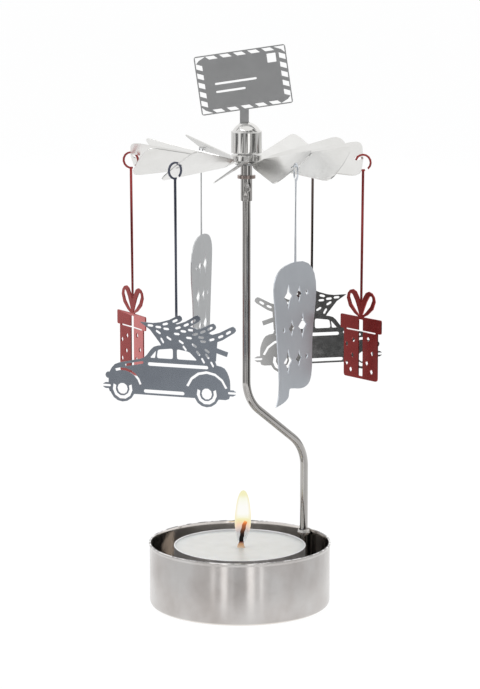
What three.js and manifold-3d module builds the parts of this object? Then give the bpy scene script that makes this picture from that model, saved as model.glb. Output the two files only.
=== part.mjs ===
// Candle carousel: a steel cup for a tealight, a bent wire mast that rises from the cup's rim to
// the middle, and a wheel of twisted blades that turns on a needle and carries hanging figures.
// Millimetres and degrees, +Z up, origin at the centre of the cup's flat base.

import * as THREE from 'three';
import { mergeVertices } from 'three/addons/utils/BufferGeometryUtils.js';
import Module from 'manifold-3d';

const wasm = await Module();
wasm.setup();

// Air between pieces
const seatGap = 0.3;
const slimGap = 0.25;
const cutOverrun = 1;
const fullTurn = 360;

// Cup
const cupRadius = 26.3;
const cupHeight = 18.5;
const cupWall = 0.5;
const cupFloor = 0.8;
const cupBottomRound = 1.8;
const cupRimRound = 0.2;

// Tealight
const canRadius = 19.25;
const canHeight = 16.4;
const canWall = 0.25;
const canFloor = 0.3;
const canLip = 0.35;
const canBottomRound = 0.9;
const waxDrop = 0.7;
const waxDish = 0.45;
const waxEdgeRound = 0.5;
const wickRadius = 0.7;
const wickAboveWax = 8;
const wickLean = 1.5;
const clipRadius = 6.5;
const clipSheet = 0.3;
const clipTubeWall = 0.3;
const clipTubeHeight = 3;

// Mast, one bent wire
const wireRadius = 1.175;
const footAzimuth = 38.5;
const axisOffset = 2.45;
const lowerBendHeight = 43.4;
const upperBendHeight = 60.2;
const bendRadius = 11.5;
const weldReach = 2.3;
const weldDepth = 1.75;
const weldHeight = 1.3;
const weldBelowRim = 0.9;

// Sleeve on the mast's top, its snap ring and the needle that it holds
const sleeveRadius = 1.65;
const sleeveBelowWheel = 11.1;
const sleeveAboveWheel = 1.4;
const sleeveWeb = 0.9;
const sleeveChamfer = 0.2;
const wireInSleeve = 7.4;
const ringOuterRadius = 2.6;
const ringThickness = 0.9;
const ringBelowWheel = 4.2;
const ringOpening = 26;
const needleRadius = 0.6;
const needlePoint = 1.5;
const needlePointRadius = 0.1;

// Wheel
const wheelHeight = 129.3;
const wheelSheet = 0.3;
const discRadius = 4.1;
const bladeCount = 12;
const bladeTipRadius = 33.4;
const bladeSector = 26.5;
const bladePitch = 36;
const bladeRise = 2.8;
const bladeCorner = 2.6;
const twistLength = 4.4;
const twistSteps = 4;
const neckHalfWidth = 0.85;
const hangHoleRadius = 1.05;
const hangBridge = 0.55;
const firstHookAzimuth = 53.84;

// Hub: bush, cap, eyelet and bearing cup
const bushRadius = 4.3;
const bushHeight = 1.8;
const capRadius = 4.4;
const capHeight = 6.4;
const capShoulder = 0.45;
const domeHeight = 2.5;
const domeSteps = 5;
const capEdge = 0.25;
const eyeletWall = 0.4;
const eyeletFlange = 0.6;
const eyeletSheet = 0.35;
const eyeletReach = 2.4;
const bearingRadius = 1.6;
const bearingHeight = 1.9;
const bearingMouth = 1.2;
const bearingDimple = 1.45;
const capCeiling = 1.5;

// Sign plate on top
const signWidth = 26.2;
const signHeight = 16.8;
const signSheet = 0.5;
const signTilt = 8.3;
const signCorner = 0.8;
const signRise = 11.9;
const signShift = -0.9;
const tabWidth = 2.55;
const tabShift = -0.6;
const tabDepth = 1.6;
const borderInset = 0.35;
const borderSlotHeight = 0.95;
const borderSlotWidth = 2.5;
const borderSkew = 1.1;
const borderSideWidth = 1.75;
const borderSideHeight = 1.45;
const borderSideSkew = 0.75;
const borderTopCount = 5;
const borderSideCount = 5;
const cornerSlotLong = 3;
const cornerSlotShort = 1.9;
const stampSize = 2.55;
const stampInsetX = 4.3;
const stampInsetY = 3.3;
const addressSlot = 0.6;
const addressLong = 12;
const addressShort = 8.5;
const addressPitch = 2.3;

// Hanging figures: a sheet with an open ring, a slim strip and a cut-out figure
const figureSheet = 0.35;
const hookRingInner = 1.95;
const hookRingBand = 0.55;
const hookTurn = -12;
const hookDrop = 1.2;
const hookOut = 0.25;
const hookGapStart = -76;
const hookGapEnd = -50;
const hookRingSteps = 14;
const stripWidth = 0.66;
const stripSteps = 4;
const stripSink = 0.6;

// Gift figure
const giftLidTop = 45.6;
const giftLidWidth = 17.8;
const giftLidHeight = 4.1;
const giftBoxWidth = 14.7;
const giftBoxHeight = 13.9;
const giftCorner = 0.5;
const giftFoot = 0.9;
const ribbonWidth = 1.9;
const ribbonMargin = 0.75;
const lidSlitMargin = 0.8;
const lidSlitHeight = 0.42;
const giftDotRadius = 0.72;
const bowHeight = 8.2;
const bowReach = 6.4;
const bowKnot = 0.9;

// Car figure, a rounded saloon with a fir tree on its roof
const carLength = 36.4;
const carHeight = 17.1;
const carShift = -2.3;
const carHangDrop = 41.3;
const carWheelRadius = 3.75;
const carFrontHubInset = 4.2;
const carRearHubInset = 6.9;
const carTyre = 0.7;
const carRimRing = 0.45;
const carHubHole = 1.6;
const carBumperLength = 4.4;
const carBumperHeight = 1.7;
const carBumperLift = 4.4;
const carBumperProud = 1.8;
const carBumperSlot = 0.65;
const carLampRadius = 0.95;
const carLampLift = 7.4;
const carBeltSlot = 1;
const carArchSlot = 0.75;
const carFrontArch = 5.25;
const carRearArch = 5.7;
const treeLength = 25;
const treeHalfWidth = 7.6;
const treeSlope = 16.7;
const treeTipAboveRoof = 5.9;
const boughTipShift = 0.75;
const boughTipSink = 1.18;
const trunkLength = 2.2;
const trunkWidth = 1.35;
const boughRootWidth = 3.5;
const boughTipWidth = 1.9;
const boughSteps = 3;
const needleSlotLength = 1.9;
const needleSlotWidth = 0.66;
const needleFacets = 2;

// Bubble figure
const bubbleTop = 26;
const bubbleWidth = 24.2;
const bubbleHeight = 35.7;
const bubbleRowPitch = 9;
const bigStarHeight = 7.6;
const bigStarWidth = 5;
const smallStarHeight = 5.4;
const smallStarWidth = 3.6;
const bubbleDotRadius = 0.75;
const bubbleFacets = 8;

// Facets
const roundFacets = 32;
const smallFacets = 20;
const wireFacets = 12;
const hiddenFacets = 12;
const bendSteps = 7;
const curveFacets = 3;
const starFacets = 2;
const signFacets = 4;
const holeFacets = 10;
const tyreFacets = 16;
const tyreSlotFacets = 7;
const archFacets = 6;
const carCurveFacets = 2;
const tipFacets = 2;
const dotFacets = 6;
const wickSteps = 9;

// Sizes that follow from the ones above
const cupInner = cupRadius - cupWall;
const footRadius = cupInner - slimGap - wireRadius;
const footX = footRadius * Math.cos(radians(footAzimuth));
const footY = footRadius * Math.sin(radians(footAzimuth));
const axisX = axisOffset * Math.cos(radians(footAzimuth));
const axisY = axisOffset * Math.sin(radians(footAzimuth));
const canBottom = cupFloor + seatGap;
const canInner = canRadius - canWall;
const waxBottom = canBottom + canFloor + seatGap;
const waxTop = canBottom + canHeight - waxDrop;
const wickBottom = waxBottom + clipSheet + seatGap;
const clipTubeInner = wickRadius + seatGap;
const clipTubeOuter = clipTubeInner + clipTubeWall;
const mastBottom = cupFloor + cupBottomRound;
const sleeveBottom = wheelHeight - sleeveBelowWheel;
const sleeveTop = wheelHeight + sleeveAboveWheel;
const ringMiddle = wheelHeight - ringBelowWheel;
const mastTop = sleeveBottom + wireInSleeve;
const sleeveBore = wireRadius + slimGap;
const socketBottom = mastTop + seatGap + sleeveWeb;
const needleSocket = needleRadius + slimGap;
const eyeletInner = sleeveRadius + seatGap;
const eyeletOuter = eyeletInner + eyeletWall;
const hubBore = eyeletOuter + slimGap;
const discTop = wheelHeight + wheelSheet / 2;
const discUnderside = wheelHeight - wheelSheet / 2;
const bushBottom = discTop + seatGap;
const capBottom = bushBottom + bushHeight + seatGap;
const capTop = capBottom + capHeight;
const domeTop = capTop + domeHeight;
const domeRadius = capRadius - capShoulder;
const slotFloor = domeTop - tabDepth - seatGap;
const bearingCeiling = slotFloor - capCeiling;
const bearingTop = bearingCeiling - seatGap;
const bearingBottom = bearingTop - bearingHeight;
const needleTip = bearingBottom + bearingDimple - seatGap;
const bearingBore = bearingRadius + slimGap;
const hangRadius = bladeTipRadius - hangBridge / 2;
const hangHoleCentre = bladeTipRadius - hangBridge - hangHoleRadius;

// Materials, by the finish of the real piece
const finishes = {
  satinSteel: { color: 0xb9b1aa, roughness: 0.32, metalness: 1 },
  polishedSteel: { color: 0xd6d5d3, roughness: 0.1, metalness: 1 },
  wireSteel: { color: 0x8f8c8a, roughness: 0.25, metalness: 1 },
  copperedSteel: { color: 0x9a7a6c, roughness: 0.35, metalness: 1 },
  needleSteel: { color: 0xc4c6c8, roughness: 0.15, metalness: 1 },
  greySheet: { color: 0x9a9b9c, roughness: 0.38, metalness: 0.9 },
  slateSheet: { color: 0x767d85, roughness: 0.4, metalness: 0.85 },
  paleSheet: { color: 0xa9adb4, roughness: 0.4, metalness: 0.85 },
  redSheet: { color: 0x8a2f30, roughness: 0.45, metalness: 0.6 },
  tinfoil: { color: 0xc9cbcd, roughness: 0.3, metalness: 1 },
  wax: { color: 0xefeee8, roughness: 0.55, metalness: 0 },
  cotton: { color: 0x3a3029, roughness: 0.95, metalness: 0 },
};

function radians(degrees) {
  return THREE.MathUtils.degToRad(degrees);
}

// A profile of [radius, height] pairs turned about Z; it runs anticlockwise round the wall
function revolve(profile, facets = roundFacets) {
  const points = profile.map(([radius, height]) => new THREE.Vector2(radius, height));
  return new THREE.LatheGeometry(points, facets).rotateX(Math.PI / 2);
}

// [x, y] points on an arc, both ends included
function arcPoints(centreX, centreY, radius, fromDegrees, toDegrees, steps) {
  const points = [];
  for (let i = 0; i <= steps; i += 1) {
    const angle = radians(fromDegrees + ((toDegrees - fromDegrees) * i) / steps);
    points.push([centreX + radius * Math.cos(angle), centreY + radius * Math.sin(angle)]);
  }
  return points;
}

function shapeOf(points) {
  return new THREE.Shape(points.map(([x, y]) => new THREE.Vector2(x, y)));
}

function circleShape(centreX, centreY, radius, facets = holeFacets) {
  return shapeOf(arcPoints(centreX, centreY, radius, 0, fullTurn, facets).slice(1));
}

// Straight sides between [x, y] corners, each corner rounded over the same length
function roundedShape(corners, rounding) {
  const shape = new THREE.Shape();
  const points = corners.map(([x, y]) => new THREE.Vector2(x, y));
  points.forEach((corner, i) => {
    const before = points[(i + points.length - 1) % points.length];
    const after = points[(i + 1) % points.length];
    const entry = before.clone().sub(corner).setLength(rounding).add(corner);
    const exit = after.clone().sub(corner).setLength(rounding).add(corner);
    if (i === 0) {
      shape.moveTo(entry.x, entry.y);
    } else {
      shape.lineTo(entry.x, entry.y);
    }
    shape.quadraticCurveTo(corner.x, corner.y, exit.x, exit.y);
  });
  shape.closePath();
  return shape;
}

function boxShape(centreX, centreY, width, height, rounding) {
  const x = width / 2;
  const y = height / 2;
  const corners = [[-x, -y], [x, -y], [x, y], [-x, y]];
  return roundedShape(corners.map(([cx, cy]) => [centreX + cx, centreY + cy]), rounding);
}

// A slot with round ends, turned by an angle about its own middle
function slotShape(centreX, centreY, length, width, degrees = 0, facets = curveFacets) {
  const reach = (length - width) / 2;
  const end = arcPoints(reach, 0, width / 2, -90, 90, facets);
  const start = arcPoints(-reach, 0, width / 2, 90, 270, facets);
  const middle = new THREE.Vector2(centreX, centreY);
  const origin = new THREE.Vector2();
  const turned = [...end, ...start].map(([x, y]) => (
    new THREE.Vector2(x, y).rotateAround(origin, radians(degrees)).add(middle)
  ));
  return new THREE.Shape(turned);
}

// A slot that follows an arc, with square ends
function arcSlotShape(centreX, centreY, innerRadius, width, fromDegrees, toDegrees, steps) {
  const inner = arcPoints(centreX, centreY, innerRadius, fromDegrees, toDegrees, steps);
  const outer = arcPoints(centreX, centreY, innerRadius + width, toDegrees, fromDegrees, steps);
  return shapeOf([...outer, ...inner].reverse());
}

// Shapes drawn in x and z as an upright sheet whose middle lies in the XZ plane
function uprightSheet(shapes, thickness, curveSegments = curveFacets) {
  const options = { depth: thickness, bevelEnabled: false, curveSegments };
  const geometry = new THREE.ExtrudeGeometry(shapes, options);
  return geometry.translate(0, 0, -thickness / 2).rotateX(Math.PI / 2);
}

// A closed body through rings of points, all rings with the same number of corners
function loft(rings) {
  const corners = rings[0].length;
  const positions = rings.flat().flatMap((point) => point.toArray());
  const index = [];
  for (let ring = 0; ring + 1 < rings.length; ring += 1) {
    for (let corner = 0; corner < corners; corner += 1) {
      const a = ring * corners + corner;
      const b = ring * corners + ((corner + 1) % corners);
      index.push(a, b, b + corners, a, b + corners, a + corners);
    }
  }
  const last = (rings.length - 1) * corners;
  for (let corner = 1; corner + 1 < corners; corner += 1) {
    index.push(0, corner + 1, corner);
    index.push(last, last + corner, last + corner + 1);
  }
  const geometry = new THREE.BufferGeometry();
  geometry.setAttribute('position', new THREE.Float32BufferAttribute(positions, 3));
  geometry.setIndex(index);
  return geometry;
}

// Solids for joining and cutting
function toSolid(geometry) {
  const bare = geometry.clone();
  bare.deleteAttribute('normal');
  bare.deleteAttribute('uv');
  const merged = mergeVertices(bare);
  const triangles = [];
  for (let i = 0; i < merged.index.count; i += 3) {
    const [a, b, c] = merged.index.array.slice(i, i + 3);
    if (a !== b && b !== c && c !== a) {
      triangles.push(a, b, c);
    }
  }
  const vertProperties = Float32Array.from(merged.attributes.position.array);
  const triVerts = Uint32Array.from(triangles);
  return new wasm.Manifold(new wasm.Mesh({ numProp: 3, vertProperties, triVerts }));
}

function join(geometries) {
  return geometries.map(toSolid).reduce((whole, piece) => whole.add(piece));
}

function fromSolid(solid) {
  const mesh = solid.getMesh();
  const geometry = new THREE.BufferGeometry();
  const positions = Float32Array.from(mesh.vertProperties);
  geometry.setAttribute('position', new THREE.BufferAttribute(positions, 3));
  geometry.setIndex(new THREE.BufferAttribute(Uint32Array.from(mesh.triVerts), 1));
  geometry.computeVertexNormals();
  return geometry;
}

function namedMesh(name, geometry, finish) {
  const mesh = new THREE.Mesh(geometry, new THREE.MeshStandardMaterial(finish));
  mesh.name = name;
  return mesh;
}

// Cup: a drawn steel bowl with a flat base, a rounded bottom edge and a plain rim
function cupGeometry() {
  const inside = cupBottomRound - cupWall;
  return revolve([
    [0, 0],
    ...arcPoints(cupRadius - cupBottomRound, cupBottomRound, cupBottomRound, -90, 0, curveFacets),
    [cupRadius, cupHeight - cupRimRound],
    [cupRadius - cupRimRound, cupHeight],
    [cupInner, cupHeight],
    ...arcPoints(cupInner - inside, cupFloor + inside, inside, 0, -90, curveFacets),
    [0, cupFloor],
  ], roundFacets);
}

// Tealight can: a pressed cup with a small outward lip
function canGeometry() {
  const top = canBottom + canHeight;
  const wallOuter = canRadius - canLip + canWall;
  const round = canBottomRound;
  return revolve([
    [0, canBottom],
    ...arcPoints(wallOuter - round, canBottom + round, round, -90, 0, curveFacets),
    [wallOuter, top - canLip],
    [canRadius, top - canLip],
    [canRadius, top],
    [wallOuter - canWall, top],
    [wallOuter - canWall, canBottom + round],
    [wallOuter - round, canBottom + canFloor],
    [0, canBottom + canFloor],
  ], roundFacets);
}

// Wax: a disc with a dished top, bored for the wick and hollowed below for its clip
function waxGeometry() {
  const outer = canRadius - canLip - seatGap;
  const bore = wickRadius + seatGap;
  const clipBore = clipTubeOuter + seatGap;
  const clipRecess = clipRadius + seatGap;
  const recessTop = waxBottom + clipSheet + seatGap;
  const tubeTop = waxBottom + clipTubeHeight + seatGap;
  const foot = canBottomRound;
  return revolve([
    [clipRecess, waxBottom],
    [outer - foot, waxBottom],
    [outer, waxBottom + foot],
    [outer, waxTop - waxEdgeRound],
    [outer - waxEdgeRound, waxTop],
    [outer / 2, waxTop - waxDish / 2],
    [outer / 4, waxTop - waxDish],
    [bore, waxTop - waxDish],
    [bore, tubeTop],
    [clipBore, tubeTop],
    [clipBore, recessTop],
    [clipRecess, recessTop],
    [clipRecess, waxBottom],
  ], roundFacets);
}

// Wick clip: a thin disc under the wax with a short tube that grips the wick
function clipGeometry() {
  const floor = waxBottom + clipSheet;
  const top = waxBottom + clipTubeHeight;
  return revolve([
    [0, waxBottom],
    [clipRadius, waxBottom],
    [clipRadius, floor],
    [clipTubeOuter, floor],
    [clipTubeOuter, top],
    [clipTubeInner, top],
    [clipTubeInner, floor],
    [0, floor],
  ], hiddenFacets);
}

function tubeGeometry(path, radius, facets, steps) {
  const section = circleShape(0, 0, radius, facets);
  return new THREE.ExtrudeGeometry(section, { steps, extrudePath: path });
}

// Wick: upright through the wax, then curling to one side
function wickGeometry() {
  const surface = waxTop - waxDish;
  const tip = surface + wickAboveWax;
  const leanShares = [0, 0.02, 0.35, 1];
  const heights = [wickBottom, surface, (surface + tip) / 2, tip];
  const points = heights.map((z, i) => new THREE.Vector3(wickLean * leanShares[i], 0, z));
  return tubeGeometry(new THREE.CatmullRomCurve3(points), wickRadius, dotFacets, wickSteps);
}

// Points and headings round one bend of the wire, from its incoming run to its outgoing one
function bendStations(corner, inward, outward) {
  const turn = inward.angleTo(outward);
  const across = outward.clone().projectOnPlane(inward).normalize();
  const start = corner.clone().addScaledVector(inward, -bendRadius * Math.tan(turn / 2));
  const stations = [];
  for (let i = 0; i <= bendSteps; i += 1) {
    const angle = (turn * i) / bendSteps;
    const point = start.clone()
      .addScaledVector(inward, bendRadius * Math.sin(angle))
      .addScaledVector(across, bendRadius * (1 - Math.cos(angle)));
    const heading = inward.clone()
      .multiplyScalar(Math.cos(angle))
      .addScaledVector(across, Math.sin(angle));
    stations.push([point, heading]);
  }
  return stations;
}

// Mast: up inside the cup's wall, in over the candle, then up the wheel's axis
function mastGeometry() {
  const foot = new THREE.Vector3(footX, footY, mastBottom);
  const lowCorner = new THREE.Vector3(footX, footY, lowerBendHeight);
  const highCorner = new THREE.Vector3(axisX, axisY, upperBendHeight);
  const top = new THREE.Vector3(axisX, axisY, mastTop);
  const up = new THREE.Vector3(0, 0, 1);
  const inwards = highCorner.clone().sub(lowCorner).normalize();
  const side = up.clone().cross(inwards).normalize();
  const stations = [
    [foot, up],
    ...bendStations(lowCorner, up, inwards),
    ...bendStations(highCorner, inwards, up),
    [top, up],
  ];
  return loft(stations.map(([point, heading]) => {
    const front = side.clone().cross(heading);
    return arcPoints(0, 0, wireRadius, 0, fullTurn, wireFacets).slice(1).map(([u, v]) => (
      point.clone().addScaledVector(front, u).addScaledVector(side, v)
    ));
  }));
}

// Weld: a bead between the wire and the cup's wall, just under the rim
function weldGeometry() {
  const middle = cupHeight - weldBelowRim;
  const bead = new THREE.SphereGeometry(1, smallFacets / 2, dotFacets)
    .scale(weldDepth, weldReach, weldHeight)
    .translate(footRadius, 0, middle)
    .rotateZ(radians(footAzimuth));
  const wall = revolve([
    [cupInner - slimGap, 0],
    [cupRadius + weldReach, 0],
    [cupRadius + weldReach, cupHeight * 2],
    [cupInner - slimGap, cupHeight * 2],
    [cupInner - slimGap, 0],
  ], roundFacets);
  const wire = new THREE.CylinderGeometry(
    wireRadius + slimGap,
    wireRadius + slimGap,
    cupHeight * 2,
    smallFacets,
  ).rotateX(Math.PI / 2).translate(footX, footY, cupHeight);
  return fromSolid(toSolid(bead).subtract(toSolid(wall)).subtract(toSolid(wire)));
}

// Sleeve: a crimped tube with a bore for the wire below and a socket for the needle above
function sleeveGeometry() {
  return revolve([
    [0, mastTop + seatGap],
    [sleeveBore, mastTop + seatGap],
    [sleeveBore, sleeveBottom],
    [sleeveRadius - sleeveChamfer / 2, sleeveBottom],
    [sleeveRadius, sleeveBottom + sleeveChamfer],
    [sleeveRadius, sleeveTop - sleeveChamfer],
    [sleeveRadius - sleeveChamfer, sleeveTop],
    [needleSocket, sleeveTop],
    [needleSocket, socketBottom],
    [0, socketBottom],
  ], smallFacets);
}

function snapRingGeometry() {
  const inner = sleeveRadius + slimGap;
  const width = ringOuterRadius - inner;
  const from = ringOpening / 2;
  const shape = arcSlotShape(0, 0, inner, width, from, fullTurn - from, smallFacets);
  const options = { depth: ringThickness, bevelEnabled: false };
  return new THREE.ExtrudeGeometry(shape, options)
    .rotateZ(radians(footAzimuth))
    .translate(0, 0, ringMiddle - ringThickness / 2);
}

function needleGeometry() {
  return revolve([
    [0, socketBottom + seatGap],
    [needleRadius, socketBottom + seatGap],
    [needleRadius, needleTip - needlePoint],
    [needlePointRadius, needleTip],
    [0, needleTip],
  ], wireFacets);
}

// Bearing cup: sits in the cap over the needle's point
function bearingGeometry() {
  return revolve([
    [0, needleTip + seatGap],
    [bearingMouth, bearingBottom],
    [bearingRadius, bearingBottom],
    [bearingRadius, bearingTop],
    [0, bearingTop],
  ], hiddenFacets);
}

// Eyelet: a flanged tube that clamps the wheel and the bush to the cap from below
function eyeletGeometry() {
  const flangeTop = discUnderside - seatGap;
  const flangeBottom = flangeTop - eyeletSheet;
  const top = capBottom + eyeletReach;
  const flangeRadius = hubBore + eyeletFlange;
  return revolve([
    [eyeletInner, flangeBottom],
    [flangeRadius, flangeBottom],
    [flangeRadius, flangeTop],
    [eyeletOuter, flangeTop],
    [eyeletOuter, top],
    [eyeletInner, top],
    [eyeletInner, flangeBottom],
  ], hiddenFacets);
}

function bushGeometry() {
  const top = bushBottom + bushHeight;
  return revolve([
    [hubBore, bushBottom],
    [bushRadius, bushBottom],
    [bushRadius, top - capEdge],
    [bushRadius - capEdge, top],
    [hubBore, top],
    [hubBore, bushBottom],
  ], smallFacets);
}

// Cap: a turned knob with a domed top, slotted across for the sign's tab
function capGeometry() {
  const domeArcRadius = (domeRadius ** 2 + domeHeight ** 2) / (2 * domeHeight);
  const domeEdge = THREE.MathUtils.radToDeg(Math.acos(domeRadius / domeArcRadius));
  const dome = arcPoints(0, domeTop - domeArcRadius, domeArcRadius, domeEdge, 90, domeSteps);
  const eyeletRoom = capBottom + eyeletReach + seatGap;
  const knob = revolve([
    [hubBore, capBottom],
    [capRadius - capEdge, capBottom],
    [capRadius, capBottom + capEdge],
    [capRadius, capTop - capEdge],
    [capRadius - capEdge, capTop],
    ...dome.slice(0, -1),
    [0, domeTop],
    [0, bearingCeiling],
    [bearingBore, bearingCeiling],
    [bearingBore, eyeletRoom],
    [hubBore, eyeletRoom],
    [hubBore, capBottom],
  ], smallFacets);
  const slotHeight = domeTop - slotFloor + cutOverrun;
  const slot = new THREE.BoxGeometry(
    tabWidth + slimGap * 2,
    signSheet + slimGap * 2,
    slotHeight,
  ).translate(tabShift, 0, slotFloor + slotHeight / 2);
  return fromSolid(toSolid(knob).subtract(toSolid(slot)));
}

// Half the width of a blade at a distance from the wheel's middle
function bladeHalfWidth(radius) {
  return radius * Math.tan(radians(bladeSector / 2));
}

// The flat part of a blade: a sector with rounded outer corners, lying along +X
function bladeShape(withHole) {
  const root = discRadius + twistLength;
  const rootHalf = bladeHalfWidth(root);
  const tipAngle = bladeSector / 2;
  const cornerTurn = THREE.MathUtils.radToDeg(bladeCorner / bladeTipRadius);
  const side = bladeTipRadius - bladeCorner;
  const corner = new THREE.Vector2(bladeTipRadius, 0);
  const origin = new THREE.Vector2();
  const shape = new THREE.Shape();
  const point = (radius, degrees) => (
    new THREE.Vector2(radius, 0).rotateAround(origin, radians(degrees))
  );
  const lowSide = point(side, -tipAngle);
  const lowCorner = corner.clone().rotateAround(origin, radians(-tipAngle));
  const lowTip = point(bladeTipRadius, cornerTurn - tipAngle);
  const highCorner = corner.clone().rotateAround(origin, radians(tipAngle));
  const highSide = point(side, tipAngle);
  shape.moveTo(root, -rootHalf);
  shape.lineTo(lowSide.x, lowSide.y);
  shape.quadraticCurveTo(lowCorner.x, lowCorner.y, lowTip.x, lowTip.y);
  const tipTurn = tipAngle - cornerTurn;
  const tips = arcPoints(0, 0, bladeTipRadius, -tipTurn, tipTurn, tipFacets);
  tips.slice(1).forEach(([x, y]) => shape.lineTo(x, y));
  shape.quadraticCurveTo(highCorner.x, highCorner.y, highSide.x, highSide.y);
  shape.lineTo(root, rootHalf);
  shape.closePath();
  if (withHole) {
    shape.holes.push(circleShape(hangHoleCentre, 0, hangHoleRadius));
  }
  return shape;
}

// Pitches a flat blade about its middle line, then tips it up slightly from the disc's edge
function placeBlade(geometry) {
  return geometry
    .rotateX(radians(bladePitch))
    .translate(-discRadius, 0, 0)
    .rotateY(radians(-bladeRise))
    .translate(discRadius, 0, 0);
}

// The twisted neck between the flat disc and the pitched blade
function neckGeometry() {
  const sink = wheelSheet * 2;
  const rings = [];
  for (let step = -1; step <= twistSteps; step += 1) {
    const share = Math.max(step, 0) / twistSteps;
    const radius = step < 0 ? discRadius - sink : discRadius + twistLength * share;
    const turn = bladePitch * THREE.MathUtils.smoothstep(share, 0, 1);
    const half = THREE.MathUtils.lerp(neckHalfWidth, bladeHalfWidth(radius), share);
    const rise = twistLength * share * Math.sin(radians(bladeRise));
    const section = [[-1, -1], [1, -1], [1, 1], [-1, 1]].map(([side, face]) => (
      new THREE.Vector3(0, side * half, (face * wheelSheet) / 2)
        .applyAxisAngle(new THREE.Vector3(1, 0, 0), radians(turn))
        .add(new THREE.Vector3(radius, 0, rise))
    ));
    rings.push(section);
  }
  return loft(rings);
}

// Wheel: a disc with twisted, pitched blades; every second blade is pierced for a figure
function wheelGeometry() {
  const disc = revolve([
    [hubBore, -wheelSheet / 2],
    [discRadius, -wheelSheet / 2],
    [discRadius, wheelSheet / 2],
    [hubBore, wheelSheet / 2],
    [hubBore, -wheelSheet / 2],
  ], bladeCount * 2);
  const pieces = [disc];
  const options = { depth: wheelSheet, bevelEnabled: false, curveSegments: curveFacets };
  for (let i = 0; i < bladeCount; i += 1) {
    const turn = radians(firstHookAzimuth + (fullTurn / bladeCount) * i);
    const flat = new THREE.ExtrudeGeometry(bladeShape(i % 2 === 0), options);
    pieces.push(placeBlade(flat.translate(0, 0, -wheelSheet / 2)).rotateZ(turn));
    pieces.push(neckGeometry().rotateZ(turn));
  }
  return fromSolid(join(pieces)).translate(0, 0, wheelHeight);
}

// The place where a figure's ring hangs, beyond a blade's hole
function hookPoint(azimuth) {
  const out = hangRadius - discRadius;
  const reach = discRadius + out * Math.cos(radians(bladeRise));
  const height = wheelHeight + out * Math.sin(radians(bladeRise));
  const angle = radians(azimuth);
  return new THREE.Vector3(reach * Math.cos(angle), reach * Math.sin(angle), height);
}

// Slanted slots along the sign's edges, like the border of an airmail letter
function borderShapes() {
  const shapes = [];
  const halfWidth = signWidth / 2;
  const halfHeight = signHeight / 2;
  const row = halfHeight - borderInset - borderSlotHeight / 2;
  const column = halfWidth - borderInset - borderSideWidth / 2;
  const rowPitch = (signWidth - cornerSlotLong * 2) / borderTopCount;
  const columnPitch = (signHeight - cornerSlotShort * 2) / borderSideCount;
  const slanted = (x, y, width, height, skewX, skewY) => shapeOf([
    [x - width / 2 + skewX / 2, y - height / 2 + skewY / 2],
    [x + width / 2 + skewX / 2, y - height / 2 - skewY / 2],
    [x + width / 2 - skewX / 2, y + height / 2 - skewY / 2],
    [x - width / 2 - skewX / 2, y + height / 2 + skewY / 2],
  ]);
  for (let i = 0; i < borderTopCount; i += 1) {
    const x = (i - (borderTopCount - 1) / 2) * rowPitch;
    shapes.push(slanted(x, row, borderSlotWidth, borderSlotHeight, borderSkew, 0));
    shapes.push(slanted(x, -row, borderSlotWidth, borderSlotHeight, borderSkew, 0));
  }
  for (let i = 0; i < borderSideCount; i += 1) {
    const y = (i - (borderSideCount - 1) / 2) * columnPitch;
    shapes.push(slanted(-column, y, borderSideWidth, borderSideHeight, 0, borderSideSkew));
    shapes.push(slanted(column, y, borderSideWidth, borderSideHeight, 0, borderSideSkew));
  }
  [[-1, 1], [1, 1], [-1, -1], [1, -1]].forEach(([sideX, sideY]) => {
    const x = sideX * (halfWidth - borderInset);
    const y = sideY * (halfHeight - borderInset);
    shapes.push(shapeOf([
      [x, y],
      [x, y - sideY * cornerSlotShort],
      [x - sideX * borderSlotHeight, y - sideY * borderSlotHeight],
      [x - sideX * cornerSlotLong, y],
    ]));
  });
  return shapes;
}

// Sign: an envelope-shaped plate, tilted on an upright tab that plugs into the cap
function signGeometry() {
  const outline = boxShape(0, 0, signWidth, signHeight, signCorner);
  const plate = uprightSheet(outline, signSheet, signFacets);
  const slots = borderShapes();
  slots.push(boxShape(
    signWidth / 2 - stampInsetX,
    signHeight / 2 - stampInsetY,
    stampSize,
    stampSize,
    borderInset / 2,
  ));
  slots.push(slotShape(-stampInsetX / 2, 0, addressLong, addressSlot, 0, signFacets));
  slots.push(slotShape(
    -stampInsetX / 2 - (addressLong - addressShort) / 2,
    -addressPitch,
    addressShort,
    addressSlot,
    0,
    signFacets,
  ));
  const cutter = join(slots.map((slot) => uprightSheet(slot, signSheet + cutOverrun, signFacets)));
  const tabTop = signRise - signHeight / 2 + borderInset;
  const tabHeight = tabTop + tabDepth;
  const tab = new THREE.BoxGeometry(tabWidth, signSheet, tabHeight)
    .translate(tabShift - signShift, 0, tabTop - tabHeight / 2 - signRise)
    .rotateY(radians(signTilt));
  return fromSolid(join([plate, tab]).subtract(cutter))
    .rotateY(radians(-signTilt))
    .translate(signShift, 0, signRise + domeTop);
}

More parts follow.
